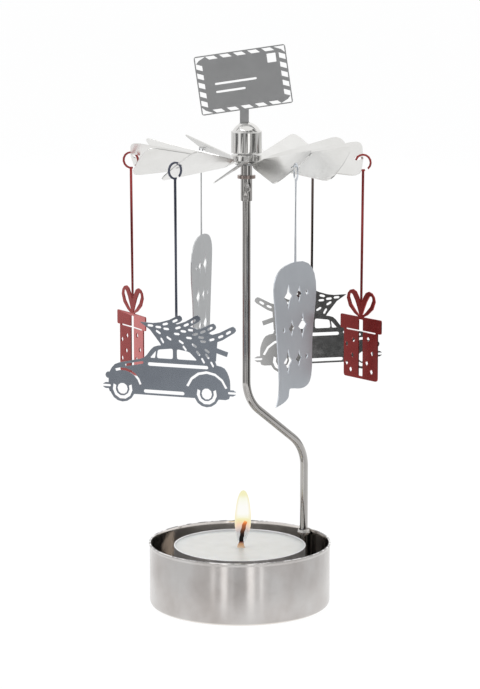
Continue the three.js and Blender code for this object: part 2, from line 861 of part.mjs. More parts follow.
// Ring and strip that every figure hangs by, the ring in the XZ plane, the strip turning
// from the ring's plane to the figure's
function hangerGeometries(figureTop, turn, centreX) {
  const ringShape = arcSlotShape(
    centreX,
    -hookDrop,
    hookRingInner,
    hookRingBand,
    hookGapEnd,
    hookGapStart + fullTurn,
    hookRingSteps,
  );
  const ring = uprightSheet(ringShape, figureSheet);
  const top = -hookDrop - hookRingInner - hookRingBand / 2;
  const bottom = -figureTop - stripSink;
  const rings = [];
  for (let step = 0; step <= stripSteps; step += 1) {
    const share = step / stripSteps;
    const angle = radians(turn * share);
    const centre = new THREE.Vector3(
      centreX * (1 - share),
      0,
      THREE.MathUtils.lerp(top, bottom, share),
    );
    rings.push([[-1, 1], [1, 1], [1, -1], [-1, -1]].map(([side, face]) => (
      new THREE.Vector3((side * stripWidth) / 2, (face * figureSheet) / 2, 0)
        .applyAxisAngle(new THREE.Vector3(0, 0, 1), angle)
        .add(centre)
    )));
  }
  return [ring, loft(rings)];
}

// Gift: lid, box and a bow of two loops, pierced by its ribbon and by dots
const bowOuterShare = [
  [0.45, 0.12, 0.97, 0.36, 0.97, 0.66],
  [0.97, 0.86, 0.76, 1, 0.54, 1],
  [0.32, 1, 0.13, 0.8, 0, 0.44],
];
const bowEyeShare = [
  [0.3, 0.22, 0.77, 0.48, 0.79, 0.71],
  [0.8, 0.84, 0.68, 0.9, 0.56, 0.81],
  [0.38, 0.66, 0.22, 0.36, 0.07, 0.08],
];
const bowEyeStartShare = [0.07, 0.08];
const bowNotchShare = 0.44;
const giftDotShares = [
  [-0.42, 0.47], [-0.22, 0.39], [-0.25, 0.64], [-0.42, 0.78], [-0.3, 0.88],
  [0.22, 0.34], [0.34, 0.56], [0.18, 0.73], [0.32, 0.86],
];

function bowShapes(curveShares, startShare, baseHeight) {
  return [-1, 1].map((side) => {
    const shape = new THREE.Shape();
    const place = ([across, up]) => [
      side * across * bowReach,
      baseHeight + up * bowHeight,
    ];
    shape.moveTo(...place(startShare));
    curveShares.forEach(([ax, ay, bx, by, cx, cy]) => {
      shape.bezierCurveTo(...place([ax, ay]), ...place([bx, by]), ...place([cx, cy]));
    });
    shape.closePath();
    return shape;
  });
}

function giftSolid() {
  const boxMiddle = -giftLidTop - giftLidHeight - giftBoxHeight / 2;
  const lidMiddle = -giftLidTop - giftLidHeight / 2;
  const giftHeight = giftLidHeight + giftBoxHeight;
  const boxJoin = giftFoot * 2;
  const parts = [
    boxShape(0, lidMiddle, giftLidWidth, giftLidHeight, giftCorner),
    boxShape(0, boxMiddle + boxJoin / 2, giftBoxWidth, giftBoxHeight + boxJoin, giftFoot),
    boxShape(0, -giftLidTop, bowKnot * 2, bowKnot * 2, giftCorner),
    ...bowShapes(bowOuterShare, [0, 0], -giftLidTop - giftCorner),
  ];
  const ribbonHeight = giftHeight - ribbonMargin * 2;
  const slitLength = giftBoxWidth - lidSlitMargin * 2;
  const cuts = [
    boxShape(0, -giftLidTop - giftHeight / 2, ribbonWidth, ribbonHeight, giftCorner / 2),
    slotShape(0, -giftLidTop - giftLidHeight, slitLength, lidSlitHeight),
    ...bowShapes(bowEyeShare, bowEyeStartShare, -giftLidTop - giftCorner),
    ...giftDotShares.map(([across, down]) => (
      circleShape(across * giftBoxWidth, -giftLidTop - down * giftHeight, giftDotRadius, dotFacets)
    )),
  ];
  return cutSheet(parts, cuts, curveFacets);
}

// A sheet figure: its parts joined and its openings cut out
function cutSheet(parts, cuts, facets, cutFacets = facets) {
  const whole = join(parts.map((shape) => uprightSheet(shape, figureSheet, facets)));
  const tools = cuts.map((shape) => uprightSheet(shape, figureSheet + cutOverrun, cutFacets));
  return whole.subtract(join(tools));
}

// Car outline and windows, as shares of its length from the middle and of its height
const carBodyShare = [
  [-0.5, 0.14], [-0.5, 0.47], [-0.45, 0.63], [-0.2, 0.75], [-0.125, 0.96], [0.03, 1],
  [0.2, 0.95], [0.29, 0.74], [0.46, 0.67], [0.5, 0.47], [0.5, 0.14],
];
const carRoundingShare = 0.035;
const carQuarterWindowShare = [[-0.155, 0.76], [-0.104, 0.885], [-0.112, 0.76]];
const carFrontWindowShare = [[-0.101, 0.76], [-0.091, 0.902], [0.035, 0.935], [0.035, 0.76]];
const carRearWindowShare = [[0.065, 0.76], [0.065, 0.93], [0.17, 0.895], [0.235, 0.76]];
const carWindowRoundingShare = 0.016;
const carBeltShare = [0.075, 0.655, 0.5];
const carBonnetShare = [-0.285, 0.645, 0.16];
const carStepShare = [-0.04, 0.2, 0.34];
const carBonnetTilt = 11.5;
const frontArchTurn = [15, 112];
const rearArchTurn = [18, 162];
const tyreSlotTurn = [-205, 25];

// Fir tree, as shares of its length from the tip and of its half width across it. A bough is
// [start along, end along, end across]; its needles are slots at shares of the bough. The
// figure hangs by the first bough's end.
const treeCoreShare = [
  [0, 0], [0.16, 0.14], [0.34, 0.36], [0.6, 0.5], [0.92, 0.5],
  [0.98, -0.4], [0.6, -0.5], [0.3, -0.5], [0.14, -0.14],
];
const boughShares = [
  [0.12, 0.43, 0.62], [0.28, 0.634, 0.86], [0.48, 0.835, 0.78], [0.68, 1.065, 0.93],
  [0.12, 0.34, -0.46], [0.34, 0.62, -0.42], [0.54, 0.86, -0.62], [0.7, 1.04, -0.9],
];
const boughBendShare = [0.62, 0.34];
const boughNeedleShares = [
  [0.5, 0.85], [0.42, 0.66, 0.88], [0.46, 0.685, 0.91], [0.42, 0.66, 0.88],
  [0.84], [0.86], [0.62, 0.9], [0.44, 0.68],
];
const coreNeedleShares = [
  [0.13, 0.01], [0.24, -0.12], [0.32, 0.1], [0.38, -0.2], [0.455, 0.06], [0.53, -0.17],
  [0.605, 0.08], [0.69, -0.12], [0.775, 0.14], [0.85, -0.14], [0.225, 0.06], [0.52, 0.24],
  [0.6, 0.38], [0.74, 0.26],
];
const coreNeedleTilt = 14;
const trunkStartShare = 0.9;

// A stroke that tapers along a quadratic curve and ends round; boughs start slimmer near the tip
function boughShape(curve, i) {
  const rootWidth = boughRootWidth * Math.sqrt(boughShares[i][0]);
  const left = [];
  const right = [];
  for (let i = 0; i <= boughSteps; i += 1) {
    const share = i / boughSteps;
    const half = THREE.MathUtils.lerp(rootWidth, boughTipWidth, share) / 2;
    const point = curve.getPoint(share);
    const tangent = curve.getTangent(share);
    const side = new THREE.Vector2(-tangent.y, tangent.x).multiplyScalar(half);
    left.push(point.clone().add(side));
    right.push(point.clone().sub(side));
  }
  const end = curve.getPoint(1);
  const nose = curve.getTangent(1).multiplyScalar(boughTipWidth / 2).add(end);
  const shape = new THREE.Shape(right);
  const cornerRight = nose.clone().add(right[boughSteps]).sub(end);
  const cornerLeft = nose.clone().add(left[boughSteps]).sub(end);
  shape.quadraticCurveTo(cornerRight.x, cornerRight.y, nose.x, nose.y);
  shape.quadraticCurveTo(cornerLeft.x, cornerLeft.y, left[boughSteps].x, left[boughSteps].y);
  left.reverse().slice(1).forEach((point) => shape.lineTo(point.x, point.y));
  return shape;
}

function treeShapes() {
  const origin = new THREE.Vector2();
  const [, hungAlong, hungAcross] = boughShares[0];
  const hung = new THREE.Vector2(hungAlong * treeLength, hungAcross * treeHalfWidth)
    .rotateAround(origin, radians(-treeSlope));
  const tip = new THREE.Vector2(boughTipShift, -carHangDrop - boughTipSink).sub(hung);
  const place = (along, across) => (
    new THREE.Vector2(along * treeLength, across * treeHalfWidth)
      .rotateAround(origin, radians(-treeSlope))
      .add(tip)
  );
  const [bendAlong, bendAcross] = boughBendShare;
  const boughs = boughShares.map(([from, to, across]) => new THREE.QuadraticBezierCurve(
    place(from, 0),
    place(THREE.MathUtils.lerp(from, to, bendAlong), across * bendAcross),
    place(to, across),
  ));
  const core = new THREE.Shape(treeCoreShare.map(([along, across]) => place(along, across)));
  const trunkEnd = 1 + trunkLength / treeLength;
  const trunkHalf = trunkWidth / treeHalfWidth / 2;
  const trunk = new THREE.Shape([
    place(trunkStartShare, -trunkHalf),
    place(trunkEnd, -trunkHalf),
    place(trunkEnd, trunkHalf),
    place(trunkStartShare, trunkHalf),
  ]);
  const needle = (middle, tilt) => slotShape(
    middle.x,
    middle.y,
    needleSlotLength,
    needleSlotWidth,
    tilt,
    needleFacets,
  );
  const slots = coreNeedleShares.map(([along, across]) => (
    needle(place(along, across), -treeSlope + Math.sign(across) * coreNeedleTilt)
  ));
  boughs.forEach((bough, i) => {
    boughNeedleShares[i].forEach((share) => {
      const tangent = bough.getTangent(share);
      slots.push(needle(bough.getPoint(share), THREE.MathUtils.radToDeg(tangent.angle())));
    });
  });
  return { tip, solid: [core, trunk, ...boughs.map(boughShape)], slots };
}

function carSolid() {
  const tree = treeShapes();
  const ground = tree.tip.y - treeTipAboveRoof - carHeight;
  const place = ([along, up]) => [
    carShift + along * carLength,
    ground + up * carHeight,
  ];
  const front = carShift - carLength / 2;
  const rear = carShift + carLength / 2;
  const hubHeight = ground + carWheelRadius;
  const frontHub = front + carFrontHubInset;
  const rearHub = rear - carRearHubInset;
  const bumperHeight = ground + carBumperLift;
  const frontBumper = front - carBumperProud + carBumperLength / 2;
  const rearBumper = rear + carBumperProud - carBumperLength / 2;
  const body = roundedShape(carBodyShare.map(place), carRoundingShare * carLength);
  const parts = [
    body,
    circleShape(frontHub, hubHeight, carWheelRadius, tyreFacets),
    circleShape(rearHub, hubHeight, carWheelRadius, tyreFacets),
    slotShape(frontBumper, bumperHeight, carBumperLength, carBumperHeight),
    slotShape(rearBumper, bumperHeight, carBumperLength, carBumperHeight),
    circleShape(front, ground + carLampLift, carLampRadius),
    ...tree.solid,
  ];
  const slotAt = ([along, up, length], width, tilt) => {
    const [x, z] = place([along, up]);
    return slotShape(x, z, length * carLength, width, tilt);
  };
  const windowRounding = carWindowRoundingShare * carLength;
  const tyreSlot = carHubHole + carRimRing;
  const tyreSlotWidth = carWheelRadius - carTyre - tyreSlot;
  const bumperSlotLength = carBumperLength - carBumperHeight;
  const cuts = [
    roundedShape(carQuarterWindowShare.map(place), windowRounding / 2),
    roundedShape(carFrontWindowShare.map(place), windowRounding),
    roundedShape(carRearWindowShare.map(place), windowRounding),
    slotAt(carBeltShare, carBeltSlot),
    slotAt(carBonnetShare, carArchSlot, carBonnetTilt),
    slotAt(carStepShare, carBeltSlot),
    arcSlotShape(frontHub, hubHeight, carFrontArch, carArchSlot, ...frontArchTurn, archFacets),
    arcSlotShape(rearHub, hubHeight, carRearArch, carArchSlot, ...rearArchTurn, archFacets),
    slotShape(front - carBumperSlot, bumperHeight, bumperSlotLength, carBumperSlot),
    slotShape(rear + carBumperSlot, bumperHeight, bumperSlotLength, carBumperSlot),
    ...tree.slots,
  ];
  [frontHub, rearHub].forEach((hub) => {
    cuts.push(circleShape(hub, hubHeight, carHubHole));
    cuts.push(arcSlotShape(
      hub,
      hubHeight,
      tyreSlot,
      tyreSlotWidth,
      ...tyreSlotTurn,
      tyreSlotFacets,
    ));
  });
  return cutSheet(parts, cuts, carCurveFacets);
}

// Bubble outline as curves, in shares of its width from the middle and of its height down
const bubbleStartShare = [-0.155, 1.035];
const bubbleShare = [
  [-0.14, 0.96, -0.12, 0.985, -0.03, 0.99],
  [0.02, 0.995, 0.1, 1.01, 0.2, 1.008],
  [0.34, 1.0, 0.385, 0.97, 0.4, 0.86],
  [0.405, 0.72, 0.385, 0.62, 0.46, 0.43],
  [0.545, 0.2, 0.5, 0, 0.01, 0],
  [-0.4, 0, -0.53, 0.08, -0.495, 0.22],
  [-0.46, 0.42, -0.4, 0.66, -0.375, 0.86],
  [-0.36, 0.96, -0.37, 1.03, -0.445, 1.095],
  [-0.33, 1.085, -0.17, 1.075, -0.155, 1.035],
];
const bubbleFirstRowShare = 0.26;
const bubbleStarShare = 0.17;
const bubbleDotShare = 0.27;

// A star with four points and sides that curve inwards
function starShape(centreX, centreZ, width, height) {
  const shape = new THREE.Shape();
  const tips = [[width / 2, 0], [0, height / 2], [-width / 2, 0], [0, -height / 2]];
  const waistShare = 0.16;
  shape.moveTo(centreX + tips[0][0], centreZ);
  tips.forEach((tip, i) => {
    const next = tips[(i + 1) % tips.length];
    shape.quadraticCurveTo(
      centreX + (tip[0] + next[0]) * waistShare,
      centreZ + (tip[1] + next[1]) * waistShare,
      centreX + next[0],
      centreZ + next[1],
    );
  });
  return shape;
}

function bubbleSolid() {
  const place = (across, down) => [across * bubbleWidth, -bubbleTop - down * bubbleHeight];
  const outline = new THREE.Shape();
  outline.moveTo(...place(...bubbleStartShare));
  bubbleShare.forEach(([ax, ay, bx, by, cx, cy]) => {
    outline.bezierCurveTo(...place(ax, ay), ...place(bx, by), ...place(cx, cy));
  });
  outline.closePath();
  const cuts = [];
  [1, -1, 1].forEach((side, row) => {
    const z = -bubbleTop - bubbleFirstRowShare * bubbleHeight - row * bubbleRowPitch;
    const starX = side * bubbleStarShare * bubbleWidth;
    const dotX = side * bubbleDotShare * bubbleWidth;
    cuts.push(starShape(-starX, z, bigStarWidth, bigStarHeight));
    cuts.push(starShape(starX / 2, z, smallStarWidth, smallStarHeight));
    cuts.push(circleShape(dotX, z, bubbleDotRadius, dotFacets));
  });
  return cutSheet([outline], cuts, bubbleFacets, starFacets);
}

// Figures in the order of the hooks. Facing turns the ring's +X inwards or outwards; the strip
// turns on from the ring's plane to the figure's.
const gift = { solid: giftSolid(), top: giftLidTop - bowHeight * bowNotchShare, finish: finishes.redSheet };
const car = { solid: carSolid(), top: carHangDrop, finish: finishes.slateSheet };
const bubble = { solid: bubbleSolid(), top: bubbleTop, finish: finishes.paleSheet };
const figures = [
  { name: 'car_rear', kind: car, facing: 180, turn: -26.8 },
  { name: 'bubble_rear', kind: bubble, facing: 180, turn: -25.8 },
  { name: 'gift_left', kind: gift, facing: 180, turn: -39.8 },
  { name: 'car_front', kind: car, facing: 180, turn: -61.8 },
  { name: 'bubble_front', kind: bubble, facing: 180, turn: -41.8 },
  { name: 'gift_right', kind: gift, facing: 0, turn: -33.8 },
];

function figureMesh({ name, kind, facing, turn }, azimuth) {
  const turned = fromSolid(kind.solid).rotateZ(radians(turn));
  const outward = hookOut * Math.cos(radians(facing));
  const whole = join([turned, ...hangerGeometries(kind.top, turn, outward)]);
  const mesh = namedMesh(name, fromSolid(whole), kind.finish);
  mesh.position.copy(hookPoint(azimuth));
  mesh.rotation.z = radians(azimuth + facing + hookTurn);
  return mesh;
}

// Assembly
const carousel = new THREE.Group();

const stand = new THREE.Group();
stand.add(namedMesh('cup', cupGeometry(), finishes.satinSteel));
stand.add(namedMesh('mast', mastGeometry(), finishes.wireSteel));
stand.add(namedMesh('mast_weld', weldGeometry(), finishes.wireSteel));
carousel.add(stand);

const candle = new THREE.Group();
candle.add(namedMesh('tealight_can', canGeometry(), finishes.tinfoil));
candle.add(namedMesh('wax', waxGeometry(), finishes.wax));
candle.add(namedMesh('wick', wickGeometry(), finishes.cotton));
candle.add(namedMesh('wick_clip', clipGeometry(), finishes.tinfoil));
carousel.add(candle);

const mastHead = new THREE.Group();
mastHead.position.set(axisX, axisY, 0);
mastHead.add(namedMesh('sleeve', sleeveGeometry(), finishes.wireSteel));
mastHead.add(namedMesh('snap_ring', snapRingGeometry(), finishes.copperedSteel));
mastHead.add(namedMesh('needle', needleGeometry(), finishes.needleSteel));
carousel.add(mastHead);

const rotor = new THREE.Group();
rotor.position.set(axisX, axisY, 0);
rotor.add(namedMesh('wheel', wheelGeometry(), finishes.polishedSteel));
rotor.add(namedMesh('hub_bush', bushGeometry(), finishes.polishedSteel));
rotor.add(namedMesh('hub_cap', capGeometry(), finishes.polishedSteel));
rotor.add(namedMesh('hub_eyelet', eyeletGeometry(), finishes.polishedSteel));
rotor.add(namedMesh('bearing_cup', bearingGeometry(), finishes.needleSteel));
rotor.add(namedMesh('sign', signGeometry(), finishes.greySheet));
const hookPitch = fullTurn / figures.length;
figures.forEach((figure, i) => rotor.add(figureMesh(figure, firstHookAzimuth + hookPitch * i)));
carousel.add(rotor);

export default carousel;
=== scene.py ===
"""Dresses the candle carousel: a satin steel cup with a lit tealight, a bent wire mast and a
wheel of bright blades hung with cut-out figures, under soft studio light."""

import math

import bmesh
import bpy
import numpy as np
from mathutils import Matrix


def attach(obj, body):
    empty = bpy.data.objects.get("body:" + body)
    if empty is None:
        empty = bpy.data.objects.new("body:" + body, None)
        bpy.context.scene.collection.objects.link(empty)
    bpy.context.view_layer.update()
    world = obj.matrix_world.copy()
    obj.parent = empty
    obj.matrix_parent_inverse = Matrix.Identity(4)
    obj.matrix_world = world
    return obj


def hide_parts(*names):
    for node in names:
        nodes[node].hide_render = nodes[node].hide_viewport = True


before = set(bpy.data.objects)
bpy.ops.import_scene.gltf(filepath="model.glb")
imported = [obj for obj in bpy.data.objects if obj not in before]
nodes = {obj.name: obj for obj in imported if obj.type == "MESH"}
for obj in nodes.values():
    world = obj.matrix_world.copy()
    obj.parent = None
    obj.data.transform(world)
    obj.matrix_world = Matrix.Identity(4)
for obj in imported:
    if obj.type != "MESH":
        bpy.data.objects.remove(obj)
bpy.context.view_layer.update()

MM = 0.001

# Camera fitted to the photograph, in metres, radians and millimetres of film
CAMERA_PLACE = (0.000073, -0.72133, 0.19906)
CAMERA_TIP = 0.168
CAMERA_LENS = 132.6
CAMERA_FILM = 36.0

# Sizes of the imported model, in millimetres
CUP_RADIUS = 26.3
CUP_HEIGHT = 18.5
CUP_WALL = 0.5
CUP_FLOOR = 0.8
CUP_ROUND = 1.8
CUP_LIP = 0.26
CAN_RADIUS = 19.25
CAN_BOTTOM = 1.1
CAN_TOP = 17.5
CAN_WALL = 0.25
CAN_LIP = 0.35
CAN_ROUND = 0.9
WAX_RADIUS = 18.86
WAX_BOTTOM = 1.7
WAX_TOP = 16.8
WAX_DISH = 0.45
CLIP_ROOM = 6.9
CLIP_ROOM_HEIGHT = 0.6
TUBE_ROOM = 1.6
TUBE_ROOM_HEIGHT = 3.3
WICK_BORE = 0.72
WICK_ROOT = 2.3
WICK_BEND = 12.0
WICK_FOOT = 16.35
WICK_TIP = 24.4
WICK_RADIUS = 0.62
WICK_SHIFT = 0.36
WICK_LEAN = 1.35
FLAME_BOTTOM = 17.6
FLAME_TOP = 33.7
FLAME_PROFILE = [
    (0.0, 0.0), (0.02, 0.75), (0.065, 1.25), (0.12, 1.5), (0.177, 1.76), (0.23, 2.0),
    (0.29, 2.2), (0.344, 2.32), (0.42, 2.37), (0.5, 2.36), (0.585, 2.25), (0.66, 2.12),
    (0.734, 1.96), (0.81, 1.75), (0.864, 1.54), (0.92, 1.22), (0.957, 0.92), (0.985, 0.55),
    (1.0, 0.0),
]
WIRE_RADIUS = 1.175
FOOT_TURN = math.radians(38.5)
FOOT_RADIUS = 24.375
AXIS_OFFSET = 2.45
MAST_BOTTOM = 2.6
MAST_TOP = 125.6
LOW_BEND = 43.4
HIGH_BEND = 60.2
BEND_RADIUS = 11.5
SLEEVE_RADIUS = 1.65
SLEEVE_BOTTOM = 118.2
SLEEVE_TOP = 130.7
SLEEVE_BORE = 1.425
SLEEVE_BORE_TOP = 125.9
SOCKET_RADIUS = 0.85
SOCKET_BOTTOM = 126.8
CRIMPS = [(-1.75, 119.6), (-1.3, 122.2), (1.2, 120.6), (2.2, 122.6)]
CRIMP_DEPTH = 0.26
CRIMP_TURN = 0.42
CRIMP_RISE = 0.75
CAP_RADIUS = 4.4
CAP_BOTTOM = 131.85
CAP_HEIGHT = 6.4
CAP_SHOULDER = 0.45
DOME_HEIGHT = 2.5
HUB_BORE = 2.6
HUB_BORE_TOP = 134.55
SEAT_RADIUS = 1.85
SEAT_TOP = 137.35
BUSH_RADIUS = 4.3
BUSH_BOTTOM = 129.75
BUSH_TOP = 131.55
TAB_SHIFT = -0.6
TAB_SLOT_HALF_WIDTH = 1.525
TAB_SLOT_HALF_DEPTH = 0.5
TAB_SLOT_BOTTOM = 138.85
TAB_SLOT_TOP = 142.0
HANGER_BOTTOM = 87.5
GIFT_MIDDLE = [-30.982, 5.076]
GIFT_TURN = -58.0
GIFT_LID_TOP = 85.2
GIFT_BEND = -5.0
AXIS = np.array([AXIS_OFFSET * math.cos(FOOT_TURN), AXIS_OFFSET * math.sin(FOOT_TURN)])

# Strips of the light tent: degrees to the right of the camera's side, and grey
LOW_STRIPS = [
    (-180, 0.66), (-120, 0.6), (-80, 0.5), (-40, 0.46), (-28, 0.46), (-26, 0.76), (-24, 0.74),
    (-22, 0.44), (-18, 0.46), (-16.5, 1.0), (-12.5, 1.0), (-11, 0.44), (-8, 0.4), (-7.3, 0.7),
    (-6.5, 0.38), (6, 0.38), (8, 1.0), (12.5, 1.0), (14, 0.5), (18.5, 0.5), (19.5, 0.9),
    (21, 0.86), (22.5, 0.44), (24, 0.55), (26, 0.43), (60, 0.46), (90, 0.5), (120, 0.6),
    (180, 0.66),
]
FIGURE_STRIPS = [
    (-180, 0.45), (-150, 0.5), (-136, 0.95), (-122, 0.95), (-119, 0.42), (-112, 0.34),
    (-108, 0.32), (-103, 0.32), (-96, 0.2), (-82, 0.1), (-66, 0.25), (-57, 0.36), (-48, 0.26),
    (-40, 0.27), (-33, 0.33), (-26, 0.62), (-20, 0.56), (-8, 0.2), (2, 0.22), (11, 0.47),
    (18, 0.16), (26, 0.6), (34, 0.58), (38, 0.05), (60, 0.04), (84, 0.1), (100, 0.28),
    (120, 0.33), (140, 0.34), (165, 0.36), (180, 0.45),
]
KNOB_STRIPS = [
    (-180, 0.6), (-135, 0.5), (-112, 0.42), (-100, 0.5), (-90, 0.22), (-80, 0.06), (-70, 0.08),
    (-60, 0.6), (-48, 0.62), (-40, 0.1), (-26, 0.06), (-18, 0.3), (-10, 0.3), (-2, 0.05),
    (8, 0.06), (13, 0.85), (24, 0.8), (30, 0.2), (38, 0.35), (46, 0.05), (64, 0.04), (74, 0.3),
    (92, 0.4), (112, 0.36), (140, 0.42), (165, 0.6), (180, 0.6),
]
SIGN_STRIPS = [
    (-180, 0.6), (-140, 0.54), (-100, 0.62), (-60, 0.56), (-40, 0.5), (-26, 0.3), (26, 0.3),
    (40, 0.5), (56, 0.6), (100, 0.58), (140, 0.6), (180, 0.6),
]
SKY_STRIPS = [
    (-180, 0.64), (-140, 0.58), (-100, 0.64), (-70, 0.45), (-52, 0.52), (-30, 0.34), (-8, 0.4),
    (2, 0.07), (14, 0.06), (20, 0.45), (26, 0.12), (50, 0.1), (62, 0.5), (72, 0.12), (90, 0.12),
    (104, 0.62), (140, 0.64), (180, 0.64),
]

# Each part of the light tent: radius, bottom and top in metres, and its strips
TENTS = {
    "low_tent": (0.05, 0.0002, 0.045, LOW_STRIPS),
    "middle_tent": (0.25, 0.0005, 0.085, FIGURE_STRIPS),
    "high_tent": (0.25, 0.085, 0.122, KNOB_STRIPS),
    "sign_tent": (0.25, 0.122, 0.17, SIGN_STRIPS),
    "sky_tent": (0.25, 0.17, 0.46, SKY_STRIPS),
}
TENT_GLOW = 1.6

# Each softbox: spot, target, width and height in metres, and power in watts
SOFTBOXES = {
    "key_softbox": ((-0.75, -0.55, 0.95), (0.0, 0.0, 0.08), 0.7, 0.7, 5.0),
    "fill_softbox": ((0.85, -0.7, 0.6), (0.0, 0.0, 0.08), 0.5, 0.9, 3.0),
    "back_softbox": ((0.2, 0.95, 0.7), (0.0, 0.0, 0.1), 0.8, 0.5, 2.5),
}


# Camera and light

def add_camera():
    """A long lens at the photograph's height, tipped down at the cup and wheel."""
    data = bpy.data.cameras.new("photo_camera")
    data.sensor_fit = "VERTICAL"
    data.sensor_height = CAMERA_FILM
    data.lens = CAMERA_LENS
    data.clip_start = 0.05
    data.clip_end = 30.0
    camera = bpy.data.objects.new("photo_camera", data)
    camera.location = CAMERA_PLACE
    camera.rotation_euler = (math.pi / 2 - CAMERA_TIP, 0.0, 0.0)
    bpy.context.scene.collection.objects.link(camera)
    bpy.context.scene.camera = camera


def add_softbox(name, spot, target, width, height, power):
    """An area lamp at spot that faces target; sizes in metres, power in watts."""
    data = bpy.data.lights.new(name, "AREA")
    data.shape = "RECTANGLE"
    data.size = width
    data.size_y = height
    data.energy = power
    lamp = bpy.data.objects.new(name, data)
    away = np.subtract(spot, target)
    flat = math.hypot(away[0], away[1])
    lamp.location = spot
    lamp.rotation_euler = (math.atan2(flat, away[2]), 0.0, math.atan2(away[0], -away[1]))
    bpy.context.scene.collection.objects.link(lamp)


def new_material(name):
    material = bpy.data.materials.new(name)
    material.use_nodes = True
    tree = material.node_tree
    shader = tree.nodes["Principled BSDF"]
    return material, tree, shader


def set_world():
    """White where the camera, glass or metal looks; a calmer grey-white light on the object."""
    world = bpy.data.worlds.new("studio_air")
    bpy.context.scene.world = world
    world.use_nodes = True
    tree = world.node_tree
    tree.nodes.clear()
    path = tree.nodes.new("ShaderNodeLightPath")
    seen = tree.nodes.new("ShaderNodeMath")
    seen.operation = "MAXIMUM"
    tree.links.new(path.outputs["Is Camera Ray"], seen.inputs[0])
    tree.links.new(path.outputs["Is Glossy Ray"], seen.inputs[1])
    through = tree.nodes.new("ShaderNodeMath")
    through.operation = "MAXIMUM"
    tree.links.new(seen.outputs[0], through.inputs[0])
    tree.links.new(path.outputs["Is Transmission Ray"], through.inputs[1])
    air = tree.nodes.new("ShaderNodeBackground")
    air.inputs["Color"].default_value = (0.97, 0.98, 1.0, 1.0)
    air.inputs["Strength"].default_value = 0.55
    white = tree.nodes.new("ShaderNodeBackground")
    white.inputs["Color"].default_value = (1.0, 1.0, 1.0, 1.0)
    white.inputs["Strength"].default_value = 1.0
    mix = tree.nodes.new("ShaderNodeMixShader")
    tree.links.new(through.outputs[0], mix.inputs["Fac"])
    tree.links.new(air.outputs[0], mix.inputs[1])
    tree.links.new(white.outputs[0], mix.inputs[2])
    out = tree.nodes.new("ShaderNodeOutputWorld")
    tree.links.new(mix.outputs[0], out.inputs["Surface"])


def add_floor():
    """A wide pale table; what looks at it sees mostly white, with the object's faint shadow."""
    side = 6.0
    mesh = bpy.data.meshes.new("table")
    mesh.from_pydata(
        [(-side, -side, 0.0), (side, -side, 0.0), (side, side, 0.0), (-side, side, 0.0)],
        [],
        [(0, 1, 2, 3)],
    )
    table = bpy.data.objects.new("table", mesh)
    bpy.context.scene.collection.objects.link(table)
    material, tree, shader = new_material("table_white")
    shader.inputs["Base Color"].default_value = (0.86, 0.86, 0.86, 1.0)
    shader.inputs["Roughness"].default_value = 0.7
    shader.inputs["Specular IOR Level"].default_value = 0.2
    path = tree.nodes.new("ShaderNodeLightPath")
    seen = tree.nodes.new("ShaderNodeMath")
    seen.operation = "MAXIMUM"
    tree.links.new(path.outputs["Is Camera Ray"], seen.inputs[0])
    tree.links.new(path.outputs["Is Glossy Ray"], seen.inputs[1])
    share = tree.nodes.new("ShaderNodeMath")
    share.operation = "MULTIPLY"
    share.inputs[1].default_value = 0.86
    tree.links.new(seen.outputs[0], share.inputs[0])
    glow = tree.nodes.new("ShaderNodeEmission")
    glow.inputs["Color"].default_value = (1.0, 1.0, 1.0, 1.0)
    glow.inputs["Strength"].default_value = 1.07
    mix = tree.nodes.new("ShaderNodeMixShader")
    tree.links.new(share.outputs[0], mix.inputs["Fac"])
    tree.links.new(shader.outputs[0], mix.inputs[1])
    tree.links.new(glow.outputs[0], mix.inputs[2])
    tree.links.new(mix.outputs[0], tree.nodes["Material Output"].inputs["Surface"])
    mesh.materials.append(material)


def add_tent(name, radius, bottom, top, strips):
    """Part of a light tent that only metal sees: an upright tube round the object whose cloth
    is lit in strips. A strip's place is the angle round Z, measured to the right from the
    camera's side."""
    columns = 96
    angle = np.linspace(0.0, 2 * math.pi, columns, endpoint=False)
    ring = np.stack([radius * np.cos(angle), radius * np.sin(angle)], axis=-1)
    low = np.column_stack([ring, np.full(columns, bottom)])
    high = np.column_stack([ring, np.full(columns, top)])
    mesh = bpy.data.meshes.new(name)
    points = np.concatenate([low, high])
    mesh.from_pydata(points.tolist(), [], grid_faces(2, columns, False, True).tolist())
    tent = bpy.data.objects.new(name, mesh)
    bpy.context.scene.collection.objects.link(tent)
    tent.visible_camera = False
    tent.visible_diffuse = False
    tent.visible_transmission = False
    tent.visible_volume_scatter = False
    tent.visible_shadow = False
    material = bpy.data.materials.new(name + "_cloth")
    material.use_nodes = True
    tree = material.node_tree
    tree.nodes.clear()
    coordinate = tree.nodes.new("ShaderNodeTexCoord")
    parts = tree.nodes.new("ShaderNodeSeparateXYZ")
    tree.links.new(coordinate.outputs["Object"], parts.inputs[0])
    toward = tree.nodes.new("ShaderNodeMath")
    toward.operation = "MULTIPLY"
    toward.inputs[1].default_value = -1.0
    tree.links.new(parts.outputs["Y"], toward.inputs[0])
    turn = tree.nodes.new("ShaderNodeMath")
    turn.operation = "ARCTAN2"
    tree.links.new(parts.outputs["X"], turn.inputs[0])
    tree.links.new(toward.outputs[0], turn.inputs[1])
    round_share = number_range(tree, turn.outputs[0], 0.0, 1.0, -math.pi, math.pi)
    glow = tree.nodes.new("ShaderNodeEmission")
    glow.inputs["Strength"].default_value = TENT_GLOW
    tones = [(degrees / 360 + 0.5, (grey, grey, grey)) for degrees, grey in strips]
    tree.links.new(shade_ramp(tree, round_share, tones), glow.inputs["Color"])
    out = tree.nodes.new("ShaderNodeOutputMaterial")
    tree.links.new(glow.outputs[0], out.inputs["Surface"])
    mesh.materials.append(material)


# Surfaces as arrays

